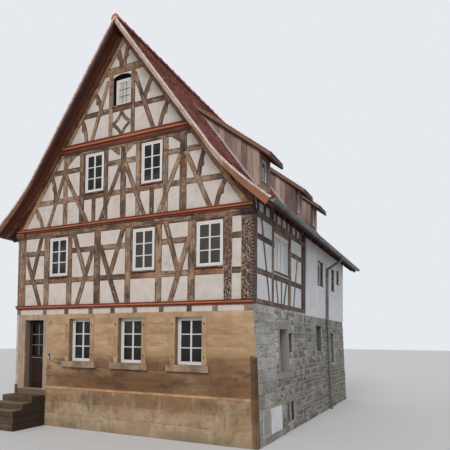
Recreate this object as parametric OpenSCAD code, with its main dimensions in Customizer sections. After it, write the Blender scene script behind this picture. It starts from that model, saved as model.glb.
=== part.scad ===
// Half timbered house: sandstone ground floor, timber framed upper storey and gable,
// steep tiled roof with flared eaves and three shed dormers on the right slope.
// Millimetres. Drawn with the ridge at X = 0, the front timber face at Y = 0 and the
// plinth line at Z = 0, then moved so that the origin is under the middle of the house.

/* [House] */
// Width of the front gable wall
house_w = 8060; // [7700:10:8800]
// Depth from the front wall to the rear wall
house_d = 11100; // [10800:10:12600]
// Height of the plinth line above the lowest ground
plinth_h = 1180; // [900:10:1500]

/* [Stone storey] */
// Height of the sandstone front above the plinth line
stone_h = 2180; // [2150:10:2600]
// Extra height of the side walls over the front stonework
side_rise = 180; // [100:5:240]
// Thickness of the front stone wall
front_wall_t = 500; // [420:10:650]
// Thickness of the right and rear stone walls
stone_wall_t = 550; // [450:10:650]
// Thickness of the left stone wall beside the door
left_wall_t = 340; // [300:5:345]
// Outward lean of the right wall at its foot
wall_batter = 160; // [60:5:220]
// Projection of the front plinth
plinth_out = 30; // [15:1:60]
// Depth of the ground floor below the plinth line
floor_drop = 100; // [60:5:150]
// Thickness of the ground floor
floor_t = 200; // [150:5:300]
// Width of the chamfer on the front right corner
corner_chamfer = 190; // [120:5:240]
// Height of the chamfer stop above the plinth line
corner_stop = 1000; // [700:10:1200]

/* [Doorway] */
// Clear width of the doorway
door_w = 780; // [760:5:820]
// Height of the stone over the doorway
door_head = 170; // [150:5:300]
// Distance of the doorway's middle from the left corner
door_from_corner = 760; // [750:5:800]
// Width of the left jamb stone
jamb_l = 290; // [270:5:310]
// Width of the right jamb stone
jamb_r = 160; // [120:5:220]
// Depth of the jamb stones
jamb_t = 240; // [240:5:300]
// Thickness of the door leaf
leaf_t = 50; // [40:1:60]
// Gap between leaf and jambs
leaf_gap = 6; // [5:0.5:8]
// Extra gap at the latch edge, where the leaf swings past the jamb
swing_gap = 3; // [3:0.5:6]
// Width of the leaf's stiles and rails
leaf_frame = 110; // [90:5:130]
// Radius of the hinge barrels
barrel_r = 9; // [7:0.5:12]
// Radius of the hinge pins
pin_r = 5; // [4:0.5:6]
// Running gap round the hinge pins
pin_gap = 0.1; // [0.05:0.05:0.3]
// Height of each hinge half
hinge_h = 45; // [35:5:60]

/* [Steps] */
// Number of steps
step_count = 3; // [2:1:4]
// Height of each riser
step_rise = 170; // [150:5:190]
// Going of the lower treads
step_run = 335; // [300:5:380]
// Depth of the top tread
landing_run = 500; // [400:5:700]
// Open joint between the step blocks
step_joint = 0.5; // [0.3:0.1:0.9]

/* [Windows] */
// Width of the ground floor windows
gwin_w = 800; // [700:5:900]
// Height of the stone over the ground floor windows
gwin_head = 140; // [130:5:240]
// Sill height of the ground floor windows
gwin_sill = 780; // [700:5:800]
// Width of the stone surrounds
surround_w = 140; // [110:5:160]
// Depth of the stone surrounds
surround_t = 140; // [100:5:180]
// Projection of the stone surrounds
surround_out = 10; // [5:1:20]
// Height of the stone sills
sill_h = 170; // [130:5:200]
// Projection of the stone sills
sill_out = 90; // [60:5:120]
// Length of a sill beyond each side of its surround
sill_ear = 90; // [40:5:140]
// Distance of the stone side windows from the front and from the rear
swin_y = 2280; // [2200:5:2600]
// Sill height of the stone side windows
swin_sill = 550; // [450:5:650]
// Width of the stone side windows
swin_w = 690; // [600:5:850]
// Height of the stone side windows
swin_h = 1220; // [1000:5:1300]
// Distance of the cellar window from the front
cellar_y = 2770; // [2500:5:2900]
// Width of the cellar window
cellar_w = 660; // [550:5:720]
// Height of the cellar window
cellar_h = 560; // [450:5:600]
// Width of the upper windows
uwin_w = 730; // [680:5:750]
// Height of the upper windows
uwin_h = 1180; // [1000:5:1200]
// Distance of the bay window from the front
bwin_y = 2290; // [2250:5:2330]
// Width of the bay window
bwin_w = 1380; // [1200:5:1380]
// Height of the bay window
bwin_h = 1080; // [950:5:1120]
// Width of the gable windows
awin_w = 690; // [640:5:730]
// Height of the gable windows
awin_h = 1170; // [1000:5:1180]
// Width of the top window
twin_w = 630; // [560:5:680]
// Height of the top window at its sides
twin_h = 820; // [700:5:860]
// Rise of the top window's arched head
twin_rise = 80; // [50:5:110]
// Thickness of the window frames
sash_t = 60; // [50:1:80]
// Width of the window frame members
sash_w = 75; // [60:1:90]
// Thickness of the glass
glass_t = 8; // [6:1:12]

/* [Timber frame] */
// Depth of the timbers
timber_t = 160; // [140:5:200]
// Recess of the plaster panels behind the timber face
panel_recess = 6; // [3:1:12]
// Gap between a panel and the timber
panel_gap = 0.5; // [0.3:0.1:1]
// Thickness of the inner lining
lining_t = 60; // [40:5:90]
// Height of the row of joist ends
joist_h = 150; // [130:5:200]
// Height of the lower moulded beam
low_mould_h = 130; // [110:5:160]
// Height of the upper storey's frame
storey_h = 2280; // [2240:10:2500]
// Height of the upper storey's plate
plate_h = 180; // [150:5:200]
// Height of the upper moulded beam
up_mould_h = 130; // [110:5:160]
// Height of the first gable storey
gable_h = 2150; // [2130:10:2300]
// Height of the gable's moulded beam
gable_mould_h = 250; // [200:5:280]
// Projection of the moulded beams
mould_out = 85; // [50:5:120]
// Face width of the carved corner posts
corner_w = 330; // [280:5:360]
// Depth of the carved corner posts along the side walls
corner_d = 250; // [220:5:300]
// Width of the gable rafters
rafter_w = 150; // [120:5:180]
// Width of the main posts
post_w = 200; // [180:5:210]
// Width of the braces
brace_w = 160; // [120:5:180]
// Bow of the curved braces
brace_bow = 50; // [20:5:70]
// Projection of the noses on the curved braces
nose_out = 55; // [30:5:80]
// Height of the rails
rail_h = 160; // [120:5:180]
// Height of the upper storey's sill rail above the lower moulded beam
rail_low_h = 740; // [700:5:760]
// Height of the upper storey's upper rail above the lower moulded beam
rail_up_h = 1620; // [1500:5:1700]
// Height of the gable's sill rail above the upper moulded beam
g_low_h = 765; // [700:5:790]
// Height of the gable's upper rail above the upper moulded beam
g_up_h = 1640; // [1500:5:1700]
// Height of the rail under the top window above the gable's moulded beam
top_rail_h = 800; // [760:5:840]
// Height of the collar above the gable's moulded beam
collar_h = 1945; // [1900:5:2000]
// Length of the timber bay on the side walls
bay_d = 4780; // [4700:10:5000]
// Width of the heavy post at the end of that bay
end_post_w = 500; // [400:10:560]
// Projection of the plastered side wall
plaster_out = 30; // [10:5:50]
// Thickness of the upper floors
deck_t = 230; // [180:5:260]

/* [Roof] */
// Distance of the bend in the slopes inside the side walls' faces
bend_in = 568; // [500:4:640]
// Pitch of the main slopes
roof_pitch = 54; // [52:0.5:56]
// Pitch at the eaves
eave_pitch = 38; // [32:0.5:42]
// Reach of the eaves beyond the side walls
eave_out = 590; // [500:5:650]
// Depth of the eave edge below the top of the upper moulded beam
eave_drop = 100; // [60:5:160]
// Length of the flare above the bend
flare_up = 890; // [700:10:1000]
// Thickness of the tiled slope
roof_t = 100; // [80:5:130]
// Overhang of the roof at the gables
verge_out = 430; // [300:5:500]
// Thickness of the verge boards
verge_t = 30; // [20:1:40]
// Width of the verge boards at the eaves
verge_w = 200; // [150:5:240]
// Radius of the ridge tiles
ridge_r = 105; // [90:5:130]
// Radius of the gutters
gutter_r = 75; // [60:5:90]
// Depth of the gutter rim below the eave edge
gutter_drop = 25; // [10:5:40]
// Thickness of the zinc
zinc_t = 5; // [4:1:8]
// Radius of the downpipes
pipe_r = 48; // [40:1:55]
// Distance of the downpipes from the front
pipe_y = 7650; // [7400:10:8000]

/* [Dormers] */
// Width of a dormer between its outer cheek faces
dormer_w = 920; // [860:5:1000]
// Distance of the dormer fronts inside the side wall's face
dormer_set = 660; // [600:5:750]
// Height of the dormer fronts above the tiles at their foot
dormer_face = 1225; // [1150:5:1300]
// Pitch of the dormer roofs
dormer_pitch = 37.6; // [35:0.1:40]
// Reach of the dormer eaves beyond their fronts
dormer_out = 380; // [300:5:420]
// Overhang of the dormer roofs beside the cheeks
dormer_side = 105; // [60:5:150]
// Thickness of the dormer roofs
dormer_t = 110; // [90:5:130]
// Thickness of the cheeks and fronts
cheek_t = 90; // [70:5:110]
// Height of the dormer windows
dwin_h = 700; // [600:5:740]
// Width of the dormer windows
dwin_w = 460; // [400:5:520]

/* [Hidden] */

$fn = 48;
half_w = house_w / 2;
side_stone_h = stone_h + side_rise;
band_z = stone_h + joist_h;
frame_z = band_z + low_mould_h;
plate_z = frame_z + storey_h - plate_h;
frame_top = frame_z + storey_h;
gable_z = frame_top + up_mould_h;
mould_z = gable_z + gable_h;
peak_z = mould_z + gable_mould_h;
wall_t = timber_t + lining_t;
through = 2000;

eave_x = half_w + eave_out;
eave_z = gable_z - eave_drop;
bend_x = half_w - bend_in;
bend = [bend_x, eave_z + (eave_x - bend_x) * tan(eave_pitch)];
ridge_z = bend.y + bend_x * tan(roof_pitch);
flare = bend + flare_up * [-cos(roof_pitch), sin(roof_pitch)];
eave = [eave_x, eave_z];
flare_steps = 8;
verge_d = verge_out + verge_t;

step_front = landing_run + (step_count - 1) * step_run;
mid_y = (house_d + verge_d - max(step_front + plinth_out, verge_d)) / 2;

door_x = -half_w + door_from_corner;
door_left = door_x - door_w / 2;
door_right = door_x + door_w / 2;
surround_left = door_left - jamb_l;
surround_right = door_right + jamb_r;
door_top = stone_h - door_head;
leaf_y = jamb_t - leaf_t;
leaf_x = door_left + leaf_gap;
hinge = [door_left + leaf_gap / 2, jamb_t + barrel_r];
hinge_inset = 250;

// Places along a gable wall are counted in bays from its middle
bay = house_w / 8;
gwin_x = [for (b = [-1.434, 0.352, 2.203]) b * bay];
gwin_h = stone_h - gwin_head - gwin_sill;
gwin_depth = 150;
swin_depth = 200;

// One flat panel standing on a wall's own X and Z, its face at depth y
module panel(y, t) {
    translate([0, y + t, 0]) rotate([90, 0, 0]) linear_extrude(t) children();
}

// Puts a panel drawn for the front on another wall
module on_wall(side) {
    if (side == "front") children();
    if (side == "rear") translate([0, house_d, 0]) rotate([0, 0, 180]) children();
    if (side == "right") translate([half_w, 0, 0]) rotate([0, 0, 90]) children();
    if (side == "left") mirror([1, 0, 0]) translate([half_w, 0, 0]) rotate([0, 0, 90]) children();
}

module both_gables() {
    on_wall("front") children();
    on_wall("rear") children();
}

module both_sides() {
    on_wall("right") children();
    on_wall("left") children();
}

module placed() {
    translate([0, -mid_y, plinth_h]) children();
}

module rect(x0, x1, z0, z1) {
    translate([x0, z0]) square([x1 - x0, z1 - z0]);
}

// A straight timber from a to b, run on by e at each end, with g added all round
module bar(a, b, w, e, g = 0) {
    d = b - a;
    translate(a) rotate(atan2(d.y, d.x)) translate([-e - g, -w / 2 - g])
        square([norm(d) + 2 * (e + g), w + 2 * g]);
}

// A curved timber from a to b, its middle pushed off the straight line by bow
curve_steps = 8;
function bowed(a, b, bow, s) = a + s * (b - a) + 4 * s * (1 - s) * bow * inward(b - a);
function beside(a, b, bow, s, w) =
    bowed(a, b, bow, s) + w * inward(b - a + 4 * (1 - 2 * s) * bow * inward(b - a));

module curved_bar(a, b, w, bow, g = 0) {
    edges = [for (k = [-1, 1]) [for (i = [-1 : curve_steps + 1])
        beside(a, b, bow, i / curve_steps, k * (w / 2 + g))]];
    polygon(concat(edges[0], reversed(edges[1])));
}

// A curved brace that bows towards the wall's middle, with a nose cut on its hollow side
module nosed_brace(a, b, w, g = 0) {
    bow = brace_bow * sign(a.x);
    k = -sign(a.x);
    curved_bar(a, b, w, bow, g);
    polygon([beside(a, b, bow, 0.28, k * w / 3), beside(a, b, bow, 0.3, k * (w / 2 + g)),
        beside(a, b, bow, 0.52, k * (w / 2 + nose_out + g)), beside(a, b, bow, 0.6, k * (w / 2 + g)),
        beside(a, b, bow, 0.6, k * w / 3)]);
}

// Roof outline from ridge to eave, moved inwards by t at right angles
function along(s) = pow(1 - s, 2) * flare + 2 * s * (1 - s) * bend + s * s * eave;
function heading(s) = 2 * (1 - s) * (bend - flare) + 2 * s * (eave - bend);
function inward(d) = [d.y, -d.x] / norm(d);
function slope_line(t) = concat(
    [[0, ridge_z - t / cos(roof_pitch)]],
    [for (i = [0 : flare_steps]) let (s = i / flare_steps) along(s) + t * inward(heading(s))]);
function reversed(list) = [for (i = [len(list) - 1 : -1 : 0]) list[i]];
function flipped(list) = [for (p = list) [-p.x, p.y]];

// Everything under the roof at depth t, both slopes
module under_roof(t) {
    edge = slope_line(t);
    polygon(concat(edge, [[eave_x, -plinth_h], [-eave_x, -plinth_h]], reversed(flipped(edge))));
}

// Everything under the straight main slopes at depth t
module under_slopes(t) {
    h = ridge_z - t / cos(roof_pitch);
    polygon([[0, h], [h / tan(roof_pitch), 0], [-h / tan(roof_pitch), 0]]);
}

// Windows: wall, middle along the wall, sill, width, height, depth of the frame
ground_list = concat(
    [for (w = ["front", "rear"], x = gwin_x) [w, x, gwin_sill, gwin_w, gwin_h, gwin_depth]],
    [for (w = ["right", "left"], y = [swin_y, house_d - swin_y])
        [w, y, swin_sill, swin_w, swin_h, swin_depth]]);
cellar_rise = 270;
cellar_list = [["right", cellar_y, cellar_rise - plinth_h, cellar_w, cellar_h, swin_depth]];
head_h = 40;
sash_in = 20;
uwin = [for (u = [[-2.328, 1], [0.754, 1], [2.784, 1.05]]) [u[0] * bay, u[1] * uwin_w]];
uwin_sill = plate_z - head_h - uwin_h;
upper_gable_list = [for (w = ["front", "rear"], u = uwin) [w, u[0], uwin_sill, u[1], uwin_h, sash_in]];
bwin_head = 110;
bwin_sill = plate_z - bwin_head - bwin_h;
// Windows in the plastered side walls: distance from the rear, sill, width, height
plaster_windows = [for (g = [[4350, 1090, 800, 870], [2200, 1090, 500, 870], [1200, 1480, 420, 560]])
    [house_d - g[0], frame_z + g[1], g[2], g[3]]];
upper_side_list = concat(
    [for (w = ["right", "left"]) [w, bwin_y, bwin_sill, bwin_w, bwin_h, sash_in]],
    [for (w = ["right", "left"], g = plaster_windows) [w, g[0], g[1], g[2], g[3], sash_t]]);
gable_head_h = 90;
awin = [for (b = [-1.012, 0.985]) [b * bay, awin_w]];
awin_sill = mould_z - gable_head_h - awin_h;
attic_list = [for (w = ["front", "rear"], u = awin) [w, u[0], awin_sill, u[1], awin_h, sash_in]];
twin_x = -0.055 * bay;
twin_foot = 110;
twin_sill = peak_z + top_rail_h + twin_foot;

module window_hole(g) {
    rect(g[1] - g[3] / 2, g[1] + g[3] / 2, g[2], g[2] + g[4]);
}

// The two lights of a window, between frame and middle post
module lights(g) {
    w = (g[3] - 3 * sash_w) / 2;
    for (k = [-1, 1]) translate([g[1] + k * (w + sash_w) / 2, g[2] + sash_w])
        translate([-w / 2, 0]) square([w, g[4] - 2 * sash_w]);
}

module window_frame(g) {
    on_wall(g[0]) panel(g[5], sash_t) difference() {
        window_hole(g);
        lights(g);
    }
}

module window_glass(g) {
    on_wall(g[0]) panel(g[5] + (sash_t - glass_t) / 2, glass_t) lights(g);
}

module wall_holes(list, side) {
    for (g = list) if (g[0] == side) on_wall(side) panel(-through / 2, through) window_hole(g);
}

// Segmental arch over a rectangle, for the top window
module arched(w, h, rise) {
    r = (w * w / 4 + rise * rise) / (2 * rise);
    intersection() {
        translate([-w / 2, 0]) square([w, h + rise]);
        translate([0, h + rise - r]) circle(r, $fn = 96);
    }
}

module top_window_hole(g = 0) {
    translate([twin_x, twin_sill - g]) arched(twin_w + 2 * g, twin_h + g, twin_rise + g);
}

// Stone storey

// Front masonry outline with its battered right corner
module front_outline(z0, z1) {
    lean = wall_batter / (side_stone_h + plinth_h);
    polygon([[-half_w, z0], [half_w + (side_stone_h - z0) * lean, z0],
        [half_w + (side_stone_h - z1) * lean, z1], [-half_w, z1]]);
}

// Cutter for the bevel on the front right corner, which follows the batter to a round stop
module corner_bevel() {
    w = corner_chamfer;
    lean = atan(wall_batter / (side_stone_h + plinth_h));
    drop = side_stone_h - corner_stop;
    translate([half_w, 0, side_stone_h]) rotate([0, -lean, -45]) translate([-w / 2, 0, -drop]) union() {
        translate([0, -w / 2, -through * 2]) cube([w * 3, w, through * 2]);
        rotate([0, 90, 0]) cylinder(r = w / 2, h = w * 3);
    }
}

module front_plinth() {
    color("#b9a183") placed() difference() {
        panel(-plinth_out, front_wall_t + plinth_out) front_outline(-plinth_h, 0);
        translate([surround_left, -through, -floor_drop - step_rise])
            cube([surround_right - surround_left, through + jamb_t, through]);
        translate([-half_w + left_wall_t, 0, -floor_drop])
            cube([surround_right + half_w - left_wall_t, front_wall_t + 1, through]);
        translate([0, -plinth_out, 0]) corner_bevel();
    }
}

module front_wall() {
    color("#b8925f") placed() difference() {
        panel(0, front_wall_t) intersection() {
            front_outline(0, stone_h);
            rect(surround_right, half_w + wall_batter, 0, stone_h);
        }
        wall_holes(ground_list, "front");
        corner_bevel();
        for (x = gwin_x) {
            panel(-1, surround_t + 1) translate([x, 0]) surround_outline();
            panel(-1, surround_t + 1) translate([x, 0]) sill_outline();
        }
    }
}

module surround_outline() {
    w = gwin_w / 2 + surround_w;
    rect(-w, w, gwin_sill, min(gwin_sill + gwin_h + surround_w, stone_h));
}

module sill_outline() {
    w = gwin_w / 2 + surround_w + sill_ear;
    rect(-w, w, gwin_sill - sill_h, gwin_sill);
}

// Everything inside the right wall's leaning face, moved out by g
module inside_right(g) {
    translate([half_w, house_d, 0]) rotate([90, 0, 0]) linear_extrude(house_d) polygon([
        [g, side_stone_h], [wall_batter + g, -plinth_h], [-through, -plinth_h], [-through, side_stone_h]]);
}

// Stone frame and sill of the near window in the right wall
module side_surround_outline() {
    rect(swin_y - swin_w / 2 - surround_w, swin_y + swin_w / 2 + surround_w,
        swin_sill, swin_sill + swin_h + surround_w);
}

module side_sill_outline() {
    w = swin_w / 2 + surround_w + sill_ear;
    rect(swin_y - w, swin_y + w, swin_sill - sill_h, swin_sill);
}

module side_stone(out) {
    intersection() {
        on_wall("right") panel(-through / 2, through / 2 + surround_t) children();
        inside_right(out);
    }
}

module window_surrounds() {
    color("#c6a679") placed() {
        both_gables() for (x = gwin_x) panel(-surround_out, surround_t + surround_out) difference() {
            translate([x, 0]) surround_outline();
            rect(x - gwin_w / 2, x + gwin_w / 2, gwin_sill - 1, gwin_sill + gwin_h);
        }
        side_stone(surround_out) difference() {
            side_surround_outline();
            rect(swin_y - swin_w / 2, swin_y + swin_w / 2, swin_sill - 1, swin_sill + swin_h);
        }
    }
}

module window_sills() {
    color("#a98a64") placed() {
        both_gables() for (x = gwin_x)
            panel(-sill_out, surround_t + sill_out) translate([x, 0]) sill_outline();
        side_stone(sill_out) side_sill_outline();
    }
}

module front_wall_over_door() {
    color("#b8925f") placed()
        translate([-half_w + left_wall_t, jamb_t, door_top])
            cube([surround_right + half_w - left_wall_t, front_wall_t - jamb_t, stone_h - door_top]);
}

module door_surround() {
    threshold_z = -floor_drop - step_rise;
    color("#c6a679") placed() panel(0, jamb_t) difference() {
        rect(surround_left, surround_right, threshold_z, stone_h);
        rect(door_left, door_right, -floor_drop, door_top);
    }
}

// Blind openings in the right wall: middle, foot, width, height
niches = [[2985, 1090, 400, 570], [6595, 1060, 890, 940]];
niche_t = 180;

module right_wall() {
    color("#8c8880") placed() difference() {
        translate([half_w, timber_t, 0]) rotate([90, 0, 180])
            linear_extrude(house_d - timber_t) polygon([[0, side_stone_h], [-wall_batter, -plinth_h],
                [stone_wall_t, -plinth_h], [stone_wall_t, side_stone_h]]);
        translate([0, -1, -plinth_h - 1]) cube([through * 3, front_wall_t + 1, plinth_h + stone_h + 1]);
        translate([0, house_d - timber_t, stone_h]) cube([through * 3, timber_t + 1, through]);
        wall_holes(concat(ground_list, cellar_list), "right");
        on_wall("right") panel(-through / 2, through / 2 + surround_t) {
            side_surround_outline();
            side_sill_outline();
        }
        on_wall("right") panel(-through / 2, through / 2 + niche_t)
            for (n = niches) rect(n[0] - n[2] / 2, n[0] + n[2] / 2, n[1], n[1] + n[3]);
    }
}

module left_wall() {
    color("#8c8880") placed() difference() {
        translate([-half_w, 0, -plinth_h]) cube([left_wall_t, house_d, plinth_h + side_stone_h]);
        translate([-half_w - 1, -1, -plinth_h - 1]) cube([left_wall_t + 2, front_wall_t + 1, plinth_h + 1]);
        translate([-half_w - 1, -1, stone_h]) cube([left_wall_t + 2, timber_t + 1, through]);
        translate([-half_w - 1, house_d - timber_t, stone_h]) cube([left_wall_t + 2, timber_t + 1, through]);
        translate([surround_left, -1, -floor_drop]) cube([through, jamb_t + 1, stone_h * 2]);
        wall_holes(ground_list, "left");
    }
}

module rear_wall() {
    color("#8c8880") placed() difference() {
        translate([-half_w + left_wall_t, house_d - stone_wall_t, -plinth_h])
            cube([house_w - left_wall_t - stone_wall_t, stone_wall_t, plinth_h + stone_h]);
        wall_holes(ground_list, "rear");
        on_wall("rear") for (x = gwin_x) {
            panel(-1, surround_t + 1) translate([x, 0]) surround_outline();
            panel(-1, surround_t + 1) translate([x, 0]) sill_outline();
        }
    }
}

module steps() {
    top = -floor_drop - step_rise;
    color("#5e4632") placed() for (i = [0 : step_count - 1]) {
        y0 = i == 0 ? 0 : landing_run + (i - 1) * step_run;
        run = i == 0 ? landing_run : step_run;
        translate([surround_left, -plinth_out - y0 - run, -plinth_h])
            cube([surround_right - surround_left, run - step_joint, plinth_h + top - i * step_rise]);
    }
}

// Floors

module ground_floor() {
    color("#8a7a68") placed() translate([-half_w + left_wall_t, front_wall_t, -floor_drop - floor_t])
        cube([house_w - left_wall_t - stone_wall_t, house_d - front_wall_t - stone_wall_t, floor_t]);
}

module upper_floor() {
    color("#8a6f57") placed() translate([-half_w + left_wall_t, timber_t, stone_h])
        cube([house_w - left_wall_t - stone_wall_t, house_d - 2 * timber_t, deck_t]);
}

module attic_floor() {
    color("#8a6f57") placed() translate([-half_w + timber_t, timber_t, frame_top])
        cube([house_w - 2 * timber_t, house_d - 2 * timber_t, deck_t]);
}

module collar_floor() {
    color("#8a6f57") placed() intersection() {
        translate([-half_w, timber_t, mould_z]) cube([house_w, house_d - 2 * timber_t, deck_t]);
        panel(0, house_d) under_roof(roof_t);
    }
}

// Joist ends and moulded beams

joist_x = [for (b = [-2.834, -1.965, -1.042, -0.253, 0.511, 1.365, 2.218, 2.968]) b * bay];
joist_w = 150;

module joist_bars(g = 0) {
    for (x = joist_x) rect(x - joist_w / 2 - g, x + joist_w / 2 + g, stone_h - 1, band_z + 1);
    rect(-half_w - 1, -half_w + joist_w + g, stone_h - 1, band_z + 1);
    rect(half_w - joist_w * 1.6 - g, half_w + 1, stone_h - 1, band_z + 1);
}

module joist_ends() {
    color("#8a6f57") placed() both_gables() panel(0, timber_t) intersection() {
        rect(-half_w, half_w, stone_h, band_z);
        joist_bars();
    }
}

module joist_panels() {
    color("#dcd3c7") placed() both_gables() panel(panel_recess, timber_t - panel_recess) difference() {
        rect(-half_w, half_w, stone_h, band_z);
        joist_bars(panel_gap);
    }
}

// Profile of a moulded beam: fillet, cove, half round and bead, in depth and height
module mould_profile(h, out) {
    r = h * 0.3;
    union() {
        translate([0, 0]) square([timber_t, h]);
        translate([-out * 0.25, 0]) square([out, h * 0.2]);
        translate([-out + r, h * 0.52]) circle(r);
        translate([-out + r, h * 0.22]) square([out, h * 0.6]);
        translate([-out, h * 0.82]) square([out + 1, h * 0.18]);
    }
}

module moulding(x0, x1, z, h, out) {
    translate([x0, 0, z]) rotate([90, 0, 90]) linear_extrude(x1 - x0) mould_profile(h, out);
}

module lower_moulding() {
    color("#9b4f2f") placed() both_gables() moulding(-half_w, half_w, band_z, low_mould_h, mould_out);
}

module upper_moulding() {
    color("#9b4f2f") placed() both_gables() moulding(-half_w, half_w, frame_top, up_mould_h, mould_out);
}

module gable_moulding() {
    color("#b05a35") placed() both_gables() intersection() {
        moulding(-half_w, half_w, mould_z, gable_mould_h, mould_out);
        panel(-through / 2, through) under_slopes(roof_t + rafter_w);
    }
}

console_out = 115;

// Corner post with the coved console that carries the moulded beam
module corner_posts() {
    color("#8a6f57") placed() both_gables() for (k = [0, 1]) mirror([k, 0, 0]) {
        translate([half_w - corner_w, 0, frame_z]) cube([corner_w, corner_d, storey_h]);
        translate([half_w - corner_w, 0, 0]) rotate([90, 0, 90]) linear_extrude(corner_w) difference() {
            rect(-console_out, 1, plate_z, frame_top);
            translate([-console_out, plate_z]) circle(plate_h / 2);
        }
    }
}

// Upper storey of the gable walls

// Middle in bays and width in post widths
posts = [for (p = [[-2.8, 1.1], [-1.886, 1.05], [-0.839, 1.2], [0.243, 1], [1.256, 1.05], [2.268, 1.1],
    [3.31, 1.15]]) [p[0] * bay, p[1] * post_w]];
rail_up = frame_z + rail_up_h;
rail_low = frame_z + rail_low_h;
rail_gaps = [[-half_w, posts[0].x], [posts[1].x, posts[2].x], [posts[2].x, posts[3].x],
    [posts[4].x, posts[5].x], [posts[6].x, half_w]];
// Ends of the braces: bays from the middle, and share of the storey's height
function in_storey(p) = [p.x * bay, frame_z + p.y * (plate_z - frame_z)];
braces = [
    [[-3.027, 1], [-3.404, 0.36]], [[-3.672, 0.771], [-3.057, 0]],
    [[-1.717, 1], [-1.241, 0.36]], [[-0.993, 0.771], [-1.568, 0]],
    [[0.069, 1], [-0.397, 0.36]], [[-0.705, 0.771], [-0.099, 0]],
    [[1.479, 1], [1.876, 0.36]], [[2.174, 0.771], [1.638, 0]]];
brace_run = 80;
jamb_timber = 70;

module storey_outline() {
    rect(-half_w + corner_w, half_w - corner_w, frame_z, frame_top);
}

module storey_timbers(g = 0) {
    for (p = posts) rect(p[0] - p[1] / 2 - g, p[0] + p[1] / 2 + g, frame_z - 1, frame_top);
    rect(-half_w, half_w, plate_z - g, frame_top + 1);
    rect(-half_w, half_w, rail_low - rail_h / 2 - g, rail_low + rail_h / 2 + g);
    for (r = rail_gaps) rect(r[0], r[1], rail_up - rail_h / 2 - g, rail_up + rail_h / 2 + g);
    for (u = uwin) let (w = u[1] / 2 + jamb_timber + g) rect(u[0] - w, u[0] + w, rail_low, plate_z);
    for (b = braces) bar(in_storey(b[0]), in_storey(b[1]), brace_w, brace_run, g);
}

module storey_windows() {
    for (u = uwin) rect(u[0] - u[1] / 2, u[0] + u[1] / 2, uwin_sill, uwin_sill + uwin_h);
}

module storey_frame() {
    panel(0, timber_t) difference() {
        intersection() {
            storey_outline();
            storey_timbers();
        }
        storey_windows();
    }
}

module storey_panels() {
    panel(panel_recess, timber_t - panel_recess) difference() {
        storey_outline();
        storey_timbers(panel_gap);
        storey_windows();
    }
}

module front_frame() {
    color("#8a6f57") placed() storey_frame();
}

module front_panels() {
    color("#dcd3c7") placed() storey_panels();
}

// Gable

gposts = [for (p = [[-2.099, 0.9], [-1.464, 0.95], [-0.576, 0.8], [0.04, 1], [0.541, 0.75],
    [1.444, 0.85], [1.99, 1.1]]) [p[0] * bay, p[1] * post_w]];
gstuds = [for (b = [-1.012, 1.007]) [b * bay, 0.75 * post_w]];
g_up = gable_z + g_up_h;
g_low = gable_z + g_low_h;
g_up_rails = [[-half_w, gposts[1].x], [gposts[2].x, gposts[4].x], [gposts[5].x, half_w]];
function in_gable(p) = [p.x * bay, gable_z + p.y * gable_h];
gable_braces = [
    [[-2.184, 0.684], [-2.759, 0]], [[-2.025, 0.647], [-1.241, 0]], [[-0.089, 0.679], [-0.774, 0]],
    [[0.139, 0.698], [0.764, 0]], [[1.876, 0.679], [1.231, 0]], [[2.094, 0.712], [2.799, 0]]];
gable_curved = [
    [[-2.65, 0.72], [-2.5, 0.356]], [[2.63, 0.726], [2.471, 0.356]],
    [[-3.375, 0.33], [-3.007, 0]], [[3.265, 0.33], [2.978, 0]]];
knees = [for (k = [[-1.677, -2.035], [-0.427, -0.099], [0.417, 0.109], [1.598, 1.876]]) k * bay];
tposts = [for (b = [-0.442, 0.332]) [b * bay, 0.7 * post_w]];
t_rail = peak_z + top_rail_h;
t_collar = peak_z + collar_h;
collar_t = 230;
function in_top(p) = [p.x * bay, peak_z + p.y * collar_h];
top_braces = [[[-0.556, 0.838], [-1.131, 0]], [[0.397, 0.864], [1.032, 0]]];
top_curved = [
    [[-1.042, 0.74], [-0.784, 0.411]], [[-1.558, 0.411], [-1.32, 0]],
    [[0.963, 0.751], [0.715, 0.411]], [[1.568, 0.411], [1.241, 0]],
    [[-0.278, 1.378], [-0.089, 1]], [[0.189, 1.378], [0.02, 1]]];
gable_brace_w = 138;
diamond_w = 105;

// Gable triangle inside the outer edges of the rafters, which run straight down to the corners
module gable_outline() {
    intersection() {
        rect(-half_w, half_w, gable_z, ridge_z);
        under_roof(roof_t);
        under_slopes(roof_t);
    }
}

// Boards that close the wedge between a rafter and the flared eave, set back from the face
module eave_boards() {
    panel(timber_t - 40, 40) difference() {
        intersection() {
            rect(-half_w, half_w, gable_z, ridge_z);
            under_roof(roof_t);
        }
        under_slopes(roof_t + 30);
    }
}

// Four curved timbers that make a diamond under the top window
module diamond(g) {
    x0 = tposts[0].x + tposts[0].y / 2;
    x1 = tposts[1].x - tposts[1].y / 2;
    z1 = t_rail - rail_h / 2;
    mid = [(x0 + x1) / 2, (peak_z + z1) / 2];
    tips = [[mid.x, z1], [x1, mid.y], [mid.x, peak_z], [x0, mid.y]];
    intersection() {
        rect(x0 - 1, x1 + 1, peak_z - 1, z1 + 1);
        union() for (i = [0 : 3]) curved_bar(tips[i], tips[(i + 1) % 4], diamond_w, brace_bow, g);
    }
}

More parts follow.
